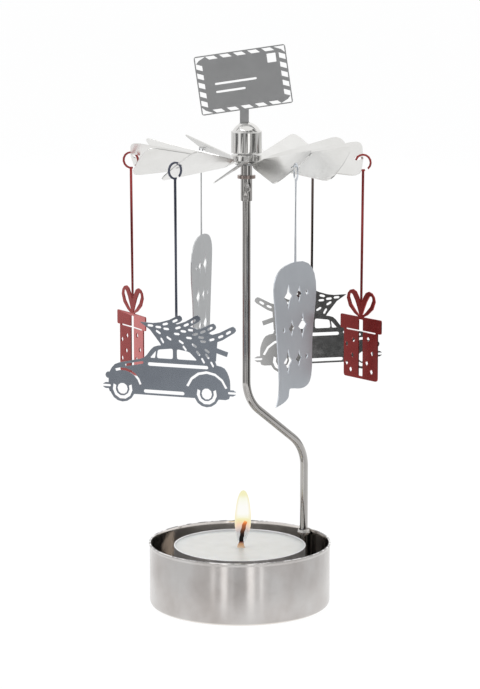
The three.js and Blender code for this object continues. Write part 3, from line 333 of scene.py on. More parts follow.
def rounded(corners, setback, steps=5):
    """Each corner of a closed outline becomes a quadratic curve: (1-t)^2 of the point a setback
    before it, plus 2t(1-t) of the corner, plus t^2 of the point a setback after it. A point on
    the straight at each end of the curve keeps the flats flat where they are shaded smooth."""
    corners = np.asarray(corners, dtype=float)
    setback = np.broadcast_to(np.asarray(setback, dtype=float), (len(corners),))
    before = np.roll(corners, 1, axis=0) - corners
    after = np.roll(corners, -1, axis=0) - corners
    long_before = np.linalg.norm(before, axis=1)
    long_after = np.linalg.norm(after, axis=1)
    back = np.minimum(setback, 0.49 * np.minimum(long_before, long_after))
    start = corners + before * (back / long_before)[:, None]
    end = corners + after * (back / long_after)[:, None]
    t = np.linspace(0.0, 1.0, steps + 1)[None, :, None]
    curve = (1 - t) ** 2 * start[:, None] + 2 * t * (1 - t) * corners[:, None] + t**2 * end[:, None]
    lead = start + 0.1 * before * (0.5 - back / long_before)[:, None]
    tail = end + 0.1 * after * (0.5 - back / long_after)[:, None]
    return np.concatenate([lead[:, None], curve, tail[:, None]], axis=1).reshape(-1, 2)


def grid_faces(rows, columns, wrap_rows, wrap_columns):
    """Quads between neighbouring rows and columns of a grid, round the ends where it wraps."""
    row = np.arange(rows if wrap_rows else rows - 1)[:, None]
    column = np.arange(columns if wrap_columns else columns - 1)[None, :]
    next_row = (row + 1) % rows
    next_column = (column + 1) % columns
    quads = np.stack(
        [
            row * columns + column,
            row * columns + next_column,
            next_row * columns + next_column,
            next_row * columns + column,
        ],
        axis=-1,
    )
    return quads.reshape(-1, 4)


def new_piece(name, points, faces, smooth_below=40.0):
    """A mesh from arrays of points in millimetres; poles and seams are merged, faces turned out,
    and edges sharper than smooth_below degrees stay crisp."""
    mesh = bpy.data.meshes.new(name)
    mesh.from_pydata((np.asarray(points) * MM).tolist(), [], np.asarray(faces).tolist())
    form = bmesh.new()
    form.from_mesh(mesh)
    bmesh.ops.remove_doubles(form, verts=form.verts, dist=1e-7)
    bmesh.ops.dissolve_degenerate(form, edges=form.edges, dist=1e-8)
    bmesh.ops.recalc_face_normals(form, faces=form.faces)
    form.to_mesh(mesh)
    form.free()
    mesh.polygons.foreach_set("use_smooth", np.ones(len(mesh.polygons), dtype=bool))
    mesh.set_sharp_from_angle(angle=math.radians(smooth_below))
    piece = bpy.data.objects.new(name, mesh)
    bpy.context.scene.collection.objects.link(piece)
    return piece


def turned(name, profile, columns, centre=(0.0, 0.0), swell=None):
    """A profile of (radius, height) turned round Z: x = r cos a, y = r sin a, z = h, with the
    radius lowered or raised by swell(angle, height) where one is given."""
    angle = np.linspace(0.0, 2 * math.pi, columns, endpoint=False)[None, :]
    profile = np.asarray(profile)
    radius = profile[:, :1] + np.zeros_like(angle)
    height = profile[:, 1:] + np.zeros_like(angle)
    if swell is not None:
        radius = radius + np.where(radius > 0, swell(angle, height, radius), 0.0)
    points = np.stack(
        [centre[0] + radius * np.cos(angle), centre[1] + radius * np.sin(angle), height], axis=-1
    )
    faces = grid_faces(len(profile), columns, True, True)
    return new_piece(name, points.reshape(-1, 3), faces)


def swept(name, path, across, radius, sides):
    """A round bar along a path that lies in one upright plane: each ring is the path's point plus
    r cos a of the in-plane normal plus r sin a of the fixed direction across the plane. The two
    end rings are closed by a point at the path's ends."""
    heading = np.gradient(path, axis=0)
    heading /= np.linalg.norm(heading, axis=1)[:, None]
    normal = np.cross(np.broadcast_to(across, heading.shape), heading)
    angle = np.linspace(0.0, 2 * math.pi, sides, endpoint=False)
    radius = np.broadcast_to(np.asarray(radius, dtype=float), (len(path), sides))
    rings = (
        path[:, None]
        + radius[:, :, None] * np.cos(angle)[None, :, None] * normal[:, None]
        + radius[:, :, None] * np.sin(angle)[None, :, None] * np.asarray(across)[None, None, :]
    )
    ends = [np.repeat(path[:1, None], sides, axis=1), np.repeat(path[-1:, None], sides, axis=1)]
    rings = np.concatenate([ends[0], rings, ends[1]])
    faces = grid_faces(len(rings), sides, False, True)
    return new_piece(name, rings.reshape(-1, 3), faces)


def dressed_copy(node, name, smooth_below=24.0):
    """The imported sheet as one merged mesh: doubles within two thousandths of a millimetre are
    merged, bends under smooth_below degrees are smooth and the cut edges stay crisp."""
    mesh = nodes[node].data.copy()
    mesh.attributes.remove(mesh.attributes["custom_normal"])
    form = bmesh.new()
    form.from_mesh(mesh)
    bmesh.ops.remove_doubles(form, verts=form.verts, dist=2e-6)
    form.to_mesh(mesh)
    form.free()
    mesh.materials.clear()
    mesh.polygons.foreach_set("use_smooth", np.ones(len(mesh.polygons), dtype=bool))
    mesh.set_sharp_from_angle(angle=math.radians(smooth_below))
    piece = bpy.data.objects.new(name, mesh)
    bpy.context.scene.collection.objects.link(piece)
    return piece


def bend_sheet(piece, middle, heading, top, degrees):
    """Turns the half of an upright sheet beyond its middle line, and below top, by degrees round
    that line: a point d along the heading moves to d along the turned heading."""
    mesh = piece.data
    flat = np.empty(len(mesh.vertices) * 3)
    mesh.vertices.foreach_get("co", flat)
    points = flat.reshape(-1, 3)
    offset = points[:, :2] / MM - middle
    turn = math.radians(degrees)
    spin = np.array([[math.cos(turn), -math.sin(turn)], [math.sin(turn), math.cos(turn)]])
    far = (offset @ heading > 0) & (points[:, 2] < top * MM)
    points[far, :2] = (middle + offset[far] @ spin.T) * MM
    mesh.vertices.foreach_set("co", points.ravel())
    mesh.update()


def place(piece, body, material, slot, *replaced):
    """Gives a piece its material and its body, and hides the nodes that it stands for. The slot is
    not used.
    """
    piece.data.materials.clear()
    piece.data.materials.append(material)
    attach(piece, body)
    if replaced:
        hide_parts(*replaced)
    return piece


# Materials

def object_noise(tree, scale, stretch=(1.0, 1.0, 1.0), detail=4.0, roughness=0.55):
    """Noise on object coordinates, stretched per axis."""
    coordinate = tree.nodes.new("ShaderNodeTexCoord")
    mapping = tree.nodes.new("ShaderNodeMapping")
    mapping.inputs["Scale"].default_value = stretch
    noise = tree.nodes.new("ShaderNodeTexNoise")
    noise.inputs["Scale"].default_value = scale
    noise.inputs["Detail"].default_value = detail
    noise.inputs["Roughness"].default_value = roughness
    tree.links.new(coordinate.outputs["Object"], mapping.inputs["Vector"])
    tree.links.new(mapping.outputs[0], noise.inputs["Vector"])
    return noise.outputs["Fac"]


def tone_ramp(tree, value, low, high, from_share=0.3, to_share=0.7):
    """Two colours blended where value runs between two shares."""
    ramp = tree.nodes.new("ShaderNodeValToRGB")
    ramp.color_ramp.elements[0].position = from_share
    ramp.color_ramp.elements[0].color = (*low, 1.0)
    ramp.color_ramp.elements[1].position = to_share
    ramp.color_ramp.elements[1].color = (*high, 1.0)
    tree.links.new(value, ramp.inputs["Fac"])
    return ramp.outputs["Color"]


def shade_ramp(tree, value, stops):
    """Colours at shares of a value, blended in between."""
    ramp = tree.nodes.new("ShaderNodeValToRGB")
    marks = ramp.color_ramp.elements
    marks.remove(marks[1])
    for index, (share, colour) in enumerate(stops):
        mark = marks[0] if index == 0 else marks.new(share)
        mark.position = share
        mark.color = (*colour, 1.0)
    tree.links.new(value, ramp.inputs["Fac"])
    return ramp.outputs["Color"]


def number_range(tree, value, low, high, from_low=0.3, from_high=0.7):
    """A number that runs from low to high as value runs between two limits."""
    span = tree.nodes.new("ShaderNodeMapRange")
    span.inputs["From Min"].default_value = from_low
    span.inputs["From Max"].default_value = from_high
    span.inputs["To Min"].default_value = low
    span.inputs["To Max"].default_value = high
    tree.links.new(value, span.inputs["Value"])
    return span.outputs["Result"]


def add_bump(tree, shader, value, strength, depth_mm, edge_mm=0.0):
    """A fine relief of depth_mm from a value, over normals that are rounded at cut edges."""
    bump = tree.nodes.new("ShaderNodeBump")
    bump.inputs["Strength"].default_value = strength
    bump.inputs["Distance"].default_value = depth_mm * MM
    tree.links.new(value, bump.inputs["Height"])
    if edge_mm:
        edge = tree.nodes.new("ShaderNodeBevel")
        edge.samples = 4
        edge.inputs["Radius"].default_value = edge_mm * MM
        tree.links.new(edge.outputs["Normal"], bump.inputs["Normal"])
    tree.links.new(bump.outputs["Normal"], shader.inputs["Normal"])


def metal(name, low, high, rough, grain, stretch, depth_mm, edge_mm=0.0, hanger_painted_shade=None):
    """Bare metal. The colour drifts between low and high with a broad noise, the roughness between
    the two values of rough with a fine one, whose relief is the sheet's rolling or drawing marks.
    On a figure the strip and ring above it take a darker colour: painted shade, as they are the
    same steel as the figure."""
    material, tree, shader = new_material(name)
    shader.inputs["Metallic"].default_value = 1.0
    broad = object_noise(tree, 120.0)
    shade = tone_ramp(tree, broad, low, high)
    # Painted shade: above the figure's top the strip and ring get a darker colour.
    if hanger_painted_shade:
        coordinate = tree.nodes.new("ShaderNodeTexCoord")
        parts = tree.nodes.new("ShaderNodeSeparateXYZ")
        tree.links.new(coordinate.outputs["Object"], parts.inputs[0])
        tint = tree.nodes.new("ShaderNodeMix")
        tint.data_type = "RGBA"
        tint.inputs["B"].default_value = (*hanger_painted_shade, 1.0)
        above = number_range(
            tree, parts.outputs["Z"], 0.0, 1.0, HANGER_BOTTOM * MM, (HANGER_BOTTOM + 3.0) * MM
        )
        tree.links.new(above, tint.inputs["Factor"])
        tree.links.new(shade, tint.inputs["A"])
        shade = tint.outputs["Result"]
    tree.links.new(shade, shader.inputs["Base Color"])
    fine = object_noise(tree, grain, stretch, detail=5.0)
    tree.links.new(number_range(tree, fine, *rough), shader.inputs["Roughness"])
    add_bump(tree, shader, fine, 0.25, depth_mm, edge_mm)
    return material


def satin_cup_material():
    """Drawn steel: satin outside with soft clouds and upright streaks, bright inside and on the
    rim. Bright is where the distance from Z is below the wall's middle or z above the rim. On the
    rim the colour is a painted glint: a fine noise paints it now light and now dark, standing in
    for reflections in the rim."""
    material, tree, shader = new_material("satin_steel")
    shader.inputs["Metallic"].default_value = 1.0
    shader.inputs["Anisotropic"].default_value = 0.75
    shader.inputs["Anisotropic Rotation"].default_value = 0.25
    tangent = tree.nodes.new("ShaderNodeTangent")
    tangent.direction_type = "RADIAL"
    tangent.axis = "Z"
    tree.links.new(tangent.outputs[0], shader.inputs["Tangent"])
    clouds = object_noise(tree, 80.0, (1.0, 1.0, 0.8), detail=3.0)
    shade = shade_ramp(tree, clouds, [
        (0.32, (0.46, 0.43, 0.41)), (0.5, (0.54, 0.515, 0.5)), (0.68, (0.6, 0.585, 0.575)),
    ])
    coordinate = tree.nodes.new("ShaderNodeTexCoord")
    parts = tree.nodes.new("ShaderNodeSeparateXYZ")
    tree.links.new(coordinate.outputs["Object"], parts.inputs[0])
    flat = tree.nodes.new("ShaderNodeCombineXYZ")
    tree.links.new(parts.outputs["X"], flat.inputs["X"])
    tree.links.new(parts.outputs["Y"], flat.inputs["Y"])
    reach = tree.nodes.new("ShaderNodeVectorMath")
    reach.operation = "LENGTH"
    tree.links.new(flat.outputs[0], reach.inputs[0])
    wall = CUP_RADIUS - CUP_WALL
    inside = number_range(
        tree, reach.outputs["Value"], 1.0, 0.0, (wall + 0.1) * MM, (wall + 0.3) * MM
    )
    rim = number_range(
        tree, parts.outputs["Z"], 0.0, 1.0, (CUP_HEIGHT - 0.25) * MM, (CUP_HEIGHT - 0.1) * MM
    )
    bright = tree.nodes.new("ShaderNodeMath")
    bright.operation = "MAXIMUM"
    tree.links.new(inside, bright.inputs[0])
    tree.links.new(rim, bright.inputs[1])
    glint = tree.nodes.new("ShaderNodeMix")
    glint.data_type = "RGBA"
    glint.inputs["A"].default_value = (0.8, 0.76, 0.72, 1.0)
    # Painted glints on the rim: a fine noise between dark and light grey stands in for the rim's
    # reflections.
    rim_glint_noise = object_noise(tree, 420.0, detail=2.0)
    waves = tone_ramp(tree, rim_glint_noise, (0.3, 0.29, 0.29), (0.88, 0.87, 0.86), 0.42, 0.56)
    tree.links.new(rim, glint.inputs["Factor"])
    tree.links.new(waves, glint.inputs["B"])
    tint = tree.nodes.new("ShaderNodeMix")
    tint.data_type = "RGBA"
    tree.links.new(glint.outputs["Result"], tint.inputs["B"])
    tree.links.new(bright.outputs[0], tint.inputs["Factor"])
    tree.links.new(shade, tint.inputs["A"])
    tree.links.new(tint.outputs["Result"], shader.inputs["Base Color"])
    grain = object_noise(tree, 2200.0, (1.0, 1.0, 0.6), detail=3.0)
    satin = number_range(tree, grain, 0.2, 0.27)
    mix = tree.nodes.new("ShaderNodeMix")
    mix.inputs["B"].default_value = 0.12
    tree.links.new(bright.outputs[0], mix.inputs["Factor"])
    tree.links.new(satin, mix.inputs["A"])
    tree.links.new(mix.outputs["Result"], shader.inputs["Roughness"])
    add_bump(tree, shader, grain, 0.35, 0.007)
    return material


def wax_material():
    """Milky paraffin: soft light below the surface, a faint mottle and a slight sheen."""
    material, tree, shader = new_material("paraffin")
    mottle = object_noise(tree, 260.0, detail=5.0)
    tree.links.new(
        tone_ramp(tree, mottle, (0.66, 0.66, 0.625), (0.71, 0.71, 0.68)),
        shader.inputs["Base Color"],
    )
    shader.inputs["Roughness"].default_value = 0.42
    shader.inputs["Subsurface Weight"].default_value = 0.35
    shader.inputs["Subsurface Radius"].default_value = (1.0, 0.8, 0.6)
    shader.inputs["Subsurface Scale"].default_value = 0.002
    add_bump(tree, shader, mottle, 0.3, 0.12)
    return material


def wick_material():
    """Cotton braid: a foot drawn full of wax, charred black above, brown and at last glowing
    towards the bent tip."""
    material, tree, shader = new_material("burnt_cotton")
    coordinate = tree.nodes.new("ShaderNodeTexCoord")
    parts = tree.nodes.new("ShaderNodeSeparateXYZ")
    tree.links.new(coordinate.outputs["Object"], parts.inputs[0])
    fibre = object_noise(tree, 2400.0, (1.0, 1.0, 0.35), detail=3.0)
    ragged = tree.nodes.new("ShaderNodeMath")
    ragged.operation = "MULTIPLY_ADD"
    ragged.inputs[1].default_value = 0.8 * MM
    tree.links.new(fibre, ragged.inputs[0])
    tree.links.new(parts.outputs["Z"], ragged.inputs[2])
    height = number_range(
        tree, ragged.outputs[0], 0.0, 1.0, (WICK_FOOT + 0.4) * MM, (WICK_TIP + 0.4) * MM
    )
    colour = shade_ramp(tree, height, [
        (0.0, (0.72, 0.66, 0.57)), (0.08, (0.72, 0.52, 0.36)), (0.18, (0.6, 0.31, 0.14)),
        (0.23, (0.18, 0.03, 0.008)), (0.28, (0.004, 0.004, 0.004)), (0.5, (0.006, 0.004, 0.003)),
        (0.7, (0.03, 0.012, 0.006)), (1.0, (0.1, 0.03, 0.01)),
    ])
    ember = shade_ramp(tree, height, [
        (0.45, (0.0, 0.0, 0.0)), (0.55, (0.008, 0.002, 0.001)), (0.64, (0.06, 0.018, 0.005)),
        (0.75, (0.18, 0.048, 0.017)), (0.86, (0.34, 0.085, 0.024)), (0.95, (0.72, 0.17, 0.033)),
        (1.0, (0.85, 0.4, 0.12)),
    ])
    tree.links.new(colour, shader.inputs["Base Color"])
    tree.links.new(ember, shader.inputs["Emission Color"])
    shader.inputs["Emission Strength"].default_value = 1.0
    shader.inputs["Roughness"].default_value = 0.95
    shader.inputs["Specular IOR Level"].default_value = 0.08
    add_bump(tree, shader, fibre, 0.6, 0.1)
    return material


def flame_material(name, colours, solid, at_middle, at_rim, turned_span):
    """A shell of flame between two heights: colours and solid give the tint and how much hides
    what is behind, at shares of the height. The veil is at_middle where the shell faces the eye
    and at_rim where it turns away, like thin glass."""
    material, tree, shader = new_material(name)
    shader.inputs["Base Color"].default_value = (0.0, 0.0, 0.0, 1.0)
    shader.inputs["Roughness"].default_value = 1.0
    shader.inputs["Specular IOR Level"].default_value = 0.0
    coordinate = tree.nodes.new("ShaderNodeTexCoord")
    parts = tree.nodes.new("ShaderNodeSeparateXYZ")
    tree.links.new(coordinate.outputs["Object"], parts.inputs[0])
    height = number_range(
        tree, parts.outputs["Z"], 0.0, 1.0, FLAME_BOTTOM * MM, FLAME_TOP * MM
    )
    cover = shade_ramp(tree, height, [(share, (grey, grey, grey)) for share, grey in solid])
    turned_away = tree.nodes.new("ShaderNodeLayerWeight")
    turned_away.inputs["Blend"].default_value = 0.5
    thin = number_range(tree, turned_away.outputs["Facing"], at_middle, at_rim, *turned_span)
    veil = tree.nodes.new("ShaderNodeMath")
    veil.operation = "MULTIPLY"
    tree.links.new(cover, veil.inputs[0])
    tree.links.new(thin, veil.inputs[1])
    tree.links.new(shade_ramp(tree, height, colours), shader.inputs["Emission Color"])
    shader.inputs["Emission Strength"].default_value = 1.0
    tree.links.new(veil.outputs[0], shader.inputs["Alpha"])
    return material


# Pieces

def add_cup(material):
    """The cup's wall as one closed profile with a rolled rim that flares and a rounded foot."""
    inner = CUP_RADIUS - CUP_WALL
    profile = rounded(
        [
            (0.001, 0.0), (CUP_RADIUS, 0.0), (CUP_RADIUS, CUP_HEIGHT - 1.0),
            (CUP_RADIUS + CUP_LIP, CUP_HEIGHT - 0.5), (CUP_RADIUS + CUP_LIP, CUP_HEIGHT),
            (inner + 0.2, CUP_HEIGHT), (inner, CUP_HEIGHT - 0.8), (inner, CUP_FLOOR),
            (0.001, CUP_FLOOR),
        ],
        [0.0005, CUP_ROUND, 0.4, 0.24, 0.24, 0.24, 0.3, CUP_ROUND - CUP_WALL, 0.0005],
        9,
    )
    place(turned("cup_bowl", profile, 192), "stand", material, "cup_steel", "cup")


def add_tealight(foil, paraffin):
    """Pressed can with an outward lip, and wax whose top is a shallow dish, h (1 - s^2) deep, that
    climbs the wick and the can's wall by falling exponentials."""
    outer = CAN_RADIUS - CAN_LIP + CAN_WALL
    can = rounded(
        [
            (0.001, CAN_BOTTOM), (outer, CAN_BOTTOM), (outer, CAN_TOP - CAN_LIP),
            (CAN_RADIUS, CAN_TOP - CAN_LIP), (CAN_RADIUS, CAN_TOP), (outer - CAN_WALL, CAN_TOP),
            (outer - CAN_WALL, CAN_BOTTOM + 0.3), (0.001, CAN_BOTTOM + 0.3),
        ],
        [0.0005, CAN_ROUND, 0.1, 0.12, 0.14, 0.1, CAN_ROUND - 0.3, 0.0005],
        6,
    )
    place(turned("can_shell", can, 160), "candle", foil, "tinfoil", "tealight_can")
    share = np.linspace(0.0, 1.0, 60)
    radius = WICK_BORE + share * (WAX_RADIUS - WICK_BORE)
    rise = 0.35 * np.exp(-((radius - WICK_BORE) / 0.9) ** 2)
    climb = 0.4 * np.exp((radius - WAX_RADIUS) / 0.5)
    top = WAX_TOP - WAX_DISH * (1 - share**2) + rise + climb
    edge = rounded(
        [
            (WAX_RADIUS, WAX_TOP - 0.2), (WAX_RADIUS, WAX_BOTTOM),
            (CLIP_ROOM, WAX_BOTTOM), (CLIP_ROOM, WAX_BOTTOM + CLIP_ROOM_HEIGHT),
            (TUBE_ROOM, WAX_BOTTOM + CLIP_ROOM_HEIGHT), (TUBE_ROOM, WAX_BOTTOM + TUBE_ROOM_HEIGHT),
            (WICK_BORE, WAX_BOTTOM + TUBE_ROOM_HEIGHT),
        ],
        [0.1, 0.9, 0.1, 0.1, 0.1, 0.1, 0.05],
        5,
    )
    profile = np.concatenate([np.stack([radius, top], axis=-1), edge])
    place(turned("wax_fill", profile, 160), "candle", paraffin, "wax", "wax")


def add_wick(material):
    """Upright through the wax, then leaning over: the shift grows evenly from the bend to the
    wax's top, and above it the lean grows with s^2.2, s being the share of the height there. The
    braid swells the radius with two crossing waves, cos(3a + kz) and cos(3a - kz), over a foot
    that the wax thickens."""
    height = np.concatenate([np.linspace(WICK_ROOT, WICK_FOOT, 12, endpoint=False),
                             np.linspace(WICK_FOOT, WICK_TIP, 72)])
    share = np.clip((height - WICK_FOOT) / (WICK_TIP - WICK_FOOT), 0.0, 1.0)
    shift = WICK_SHIFT * np.clip((height - WICK_BEND) / (WICK_FOOT - WICK_BEND), 0.0, 1.0)
    lean = shift + WICK_LEAN * share**2.2
    path = np.stack([lean, 0 * share, height], axis=-1)
    angle = np.linspace(0.0, 2 * math.pi, 24, endpoint=False)[None, :]
    wave = 3.1 * height[:, None]
    braid = np.cos(3 * angle + wave) + np.cos(3 * angle - wave)
    taper = 1 - 0.25 * np.clip((share - 0.75) / 0.25, 0, 1)[:, None] ** 2
    soaked = 0.6 * np.exp(-(((height - WICK_FOOT + 0.15) / 1.35) ** 2))[:, None]
    radius = (WICK_RADIUS + 0.035 * braid) * taper + soaked * (height > WICK_FOOT - 1.2)[:, None]
    piece = swept("wick_braid", path, np.array([0.0, 1.0, 0.0]), radius, 24)
    place(piece, "candle", material, "cotton", "wick")


def flame_shell(name, scale, low_share, high_share, front=None, rows=72, columns=64):
    """A drop between two shares of the flame's height: the radius is the root of the profile's
    squares, blended between its stations, and the middle drifts to the side that the wick leans
    to. Below the wick's tip, front keeps the shell behind the wick: y is at least front there."""
    share = np.linspace(0.0, 1.0, rows)
    stations = np.asarray(FLAME_PROFILE)
    radius = scale * np.sqrt(np.interp(share, stations[:, 0], stations[:, 1] ** 2))
    place_share = low_share + (high_share - low_share) * share
    height = FLAME_BOTTOM + (FLAME_TOP - FLAME_BOTTOM) * place_share
    centre = np.interp(place_share, [0.0, 0.25, 1.0], [0.35, 0.85, 1.05])
    angle = np.linspace(0.0, 2 * math.pi, columns, endpoint=False)[None, :]
    depth = radius[:, None] * np.sin(angle)
    if front is not None:
        limit = np.interp(height, [WICK_TIP - 0.3, WICK_TIP + 1.8], [front, -radius.max()])
        depth = np.maximum(depth, np.minimum(limit, 0.6 * radius)[:, None])
    points = np.stack(
        [centre[:, None] + radius[:, None] * np.cos(angle), depth, height[:, None] + 0 * angle],
        axis=-1,
    )
    piece = new_piece(
        name, points.reshape(-1, 3), grid_faces(rows, columns, False, True), 180.0
    )
    piece.visible_shadow = False
    return piece


def add_flame():
    """A thin veil from the wick's foot to the tip, seen mostly at its rim, and the bright heart
    that stands behind the wick and closes over it."""
    veil = flame_material(
        "flame_veil",
        [
            (0.0, (0.5, 0.52, 0.56)), (0.22, (0.6, 0.58, 0.57)), (0.29, (0.83, 0.665, 0.6)),
            (0.344, (0.947, 0.775, 0.565)), (0.4, (0.93, 0.85, 0.565)),
            (0.66, (0.947, 0.88, 0.66)), (0.81, (0.93, 0.87, 0.6)), (1.0, (0.88, 0.84, 0.5)),
        ],
        [(0.0, 0.25), (0.22, 0.4), (0.3, 0.75), (0.36, 0.95), (1.0, 0.95)],
        0.03, 1.0, (0.22, 0.62),
    )
    heart = flame_material(
        "flame_heart",
        [
            (0.06, (0.4, 0.42, 0.45)), (0.18, (0.42, 0.42, 0.43)), (0.23, (0.58, 0.5, 0.48)),
            (0.29, (0.775, 0.617, 0.527)), (0.344, (0.92, 0.65, 0.497)),
            (0.4, (0.913, 0.74, 0.45)), (0.437, (0.905, 0.815, 0.46)),
            (0.474, (0.91, 0.87, 0.53)), (0.53, (0.95, 0.935, 0.77)),
            (0.585, (0.985, 0.98, 0.94)), (0.734, (0.982, 0.973, 0.938)),
            (0.81, (0.965, 0.965, 0.87)), (0.864, (0.947, 0.956, 0.8)),
            (0.92, (0.905, 0.88, 0.565)), (1.0, (0.89, 0.855, 0.5)),
        ],
        [(0.05, 0.3), (0.18, 0.42), (0.24, 0.55), (0.3, 0.85), (0.344, 0.98), (1.0, 0.98)],
        1.0, 0.25, (0.5, 1.0),
    )
    outer = flame_shell("flame", 1.0, 0.0, 1.0)
    place(outer, "candle", veil, "wax")
    inner = flame_shell("flame_core", 0.92, 0.03, 0.985, 0.8)
    place(inner, "candle", heart, "wax")


def add_mast(material):
    """The wire's heading leans by clip((s-a)/R) minus clip((s-b)/R) of the bend angle, and its
    place is the running sum of that heading from the foot."""
    inward = FOOT_RADIUS - AXIS_OFFSET
    climb = HIGH_BEND - LOW_BEND
    bend = math.atan2(inward, climb)
    setback = BEND_RADIUS * math.tan(bend / 2)
    first = LOW_BEND - setback - MAST_BOTTOM
    second = first + BEND_RADIUS * bend + math.hypot(inward, climb) - 2 * setback
    total = second + BEND_RADIUS * bend + MAST_TOP - HIGH_BEND - setback
    along = np.linspace(0.0, total, 420)
    middle = (along[1:] + along[:-1]) / 2
    lean = (
        np.clip((middle - first) / BEND_RADIUS, 0, bend)
        - np.clip((middle - second) / BEND_RADIUS, 0, bend)
    )
    step = np.diff(along)
    towards = FOOT_RADIUS - np.concatenate([[0.0], np.cumsum(np.sin(lean) * step)])
    height = MAST_BOTTOM + np.concatenate([[0.0], np.cumsum(np.cos(lean) * step)])
    path = np.stack(
        [towards * math.cos(FOOT_TURN), towards * math.sin(FOOT_TURN), height], axis=-1
    )
    across = np.array([-math.sin(FOOT_TURN), math.cos(FOOT_TURN), 0.0])
    piece = swept("mast_wire", path, across, WIRE_RADIUS, 48)
    place(piece, "stand", material, "wire_steel", "mast")


def add_sleeve(material):
    """A tube whose radius dips by four crimp dimples, each exp(-(turn/w)^2 - (rise/h)^2)."""
    outer = SLEEVE_RADIUS
    profile = rounded(
        [
            (SLEEVE_BORE, SLEEVE_BOTTOM), (outer, SLEEVE_BOTTOM), (outer, SLEEVE_TOP),
            (SOCKET_RADIUS, SLEEVE_TOP), (SOCKET_RADIUS, SOCKET_BOTTOM), (0.001, SOCKET_BOTTOM),
            (0.001, SLEEVE_BORE_TOP), (SLEEVE_BORE, SLEEVE_BORE_TOP),
        ],
        [0.05, 0.12, 0.2, 0.1, 0.05, 0.0005, 0.0005, 0.05],
        4,
    )
    wall = np.linspace(SLEEVE_BOTTOM + 0.3, SLEEVE_TOP - 0.4, 60)
    on_wall = np.flatnonzero(profile[:, 0] > outer - 1e-6)
    start = on_wall[profile[on_wall, 1] < SLEEVE_BOTTOM + 0.3][-1]
    end = on_wall[profile[on_wall, 1] > SLEEVE_TOP - 0.4][0]
    column = np.stack([np.full_like(wall, outer), wall], axis=-1)
    profile = np.concatenate([profile[: start + 1], column, profile[end:]])

    def crimp(angle, height, radius):
        depth = np.zeros_like(radius)
        for turn, level in CRIMPS:
            bearing = np.arctan2(np.sin(angle - turn), np.cos(angle - turn)) / CRIMP_TURN
            rise = (height - level) / CRIMP_RISE
            depth = depth + CRIMP_DEPTH * np.exp(-(bearing**2) - rise**2)
        return -depth * (radius > outer - 0.02)

    piece = turned("sleeve_tube", profile, 72, AXIS, crimp)
    place(piece, "stand", material, "wire_steel", "sleeve")


def add_knob(material):
    """Bush and domed cap: turned profiles, the cap slotted across for the sign's tab."""
    bush = rounded(
        [
            (HUB_BORE, BUSH_BOTTOM), (BUSH_RADIUS, BUSH_BOTTOM), (BUSH_RADIUS, BUSH_TOP),
            (HUB_BORE, BUSH_TOP),
        ],
        [0.05, 0.12, 0.3, 0.05],
        5,
    )
    place(turned("bush_ring", bush, 96, AXIS), "rotor", material, "hub_steel", "hub_bush")
    shoulder = CAP_BOTTOM + CAP_HEIGHT
    dome_edge = CAP_RADIUS - CAP_SHOULDER
    arc_radius = (dome_edge**2 + DOME_HEIGHT**2) / (2 * DOME_HEIGHT)
    rim = math.acos(dome_edge / arc_radius)
    angle = np.linspace(rim, math.pi / 2 - 0.0005, 24)
    dome = np.stack(
        [
            arc_radius * np.cos(angle),
            shoulder + DOME_HEIGHT - arc_radius + arc_radius * np.sin(angle),
        ],
        axis=-1,
    )
    body = rounded(
        [
            (HUB_BORE, CAP_BOTTOM), (CAP_RADIUS, CAP_BOTTOM), (CAP_RADIUS, shoulder),
            (dome_edge, shoulder),
        ],
        [0.1, 0.3, 0.28, 0.02],
        6,
    )
    inside = np.array([(0.001, SEAT_TOP), (SEAT_RADIUS, SEAT_TOP), (SEAT_RADIUS, HUB_BORE_TOP),
                       (HUB_BORE, HUB_BORE_TOP)])
    profile = np.concatenate([body, dome, inside])
    cap = turned("knob", profile, 128, AXIS)
    slot = bpy.data.meshes.new("slot_cutter")
    middle = AXIS + (TAB_SHIFT, 0.0)
    reach = np.array([TAB_SLOT_HALF_WIDTH, TAB_SLOT_HALF_DEPTH])
    low = np.array([*(middle - reach), TAB_SLOT_BOTTOM])
    high = np.array([*(middle + reach), TAB_SLOT_TOP])
    pick = np.array([[x, y, z] for z in (0, 1) for y in (0, 1) for x in (0, 1)])
    corners = (low + pick * (high - low)) * MM
    slot.from_pydata(
        corners.tolist(),
        [],
        [(0, 2, 3, 1), (4, 5, 7, 6), (0, 1, 5, 4), (2, 6, 7, 3), (0, 4, 6, 2), (1, 3, 7, 5)],
    )
    cutter = bpy.data.objects.new("slot_cutter", slot)
    bpy.context.scene.collection.objects.link(cutter)
    cut = cap.modifiers.new("tab_slot", "BOOLEAN")
    cut.operation = "DIFFERENCE"
    cut.solver = "EXACT"
    cut.object = cutter
    bpy.context.view_layer.update()
    cap_with_slot = cap.evaluated_get(bpy.context.evaluated_depsgraph_get())
    shaped = bpy.data.meshes.new_from_object(cap_with_slot)
    cap.modifiers.clear()
    cap.data = shaped
    bpy.data.objects.remove(cutter)
    place(cap, "rotor", material, "hub_steel", "hub_cap")


def dress_sheets(materials):
    """Merged copies for every piece cut from sheet."""
    sheets = [
        ("wheel", "rotor", "wheel", "wheel_steel"),
        ("sign", "rotor", "sign", "sign_steel"),
        ("car_rear", "car_rear", "car_back", "figure_steel"),
        ("car_front", "car_front", "car", "figure_steel"),
        ("bubble_rear", "bubble_rear", "bubble_back", "pale_steel"),
        ("bubble_front", "bubble_front", "bubble", "pale_steel"),
        ("gift_left", "gift_left", "red", "red_sheet"),
        ("gift_right", "gift_right", "red", "red_sheet"),
    ]
    for node, body, finish, slot in sheets:
        piece = dressed_copy(node, node + "_sheet", 12.0)
        if node == "gift_left":
            turned_to = math.radians(GIFT_TURN)
            heading = np.array([math.cos(turned_to), math.sin(turned_to)])
            bend_sheet(piece, np.array(GIFT_MIDDLE), heading, GIFT_LID_TOP, GIFT_BEND)
        place(piece, body, materials[finish], slot, node)


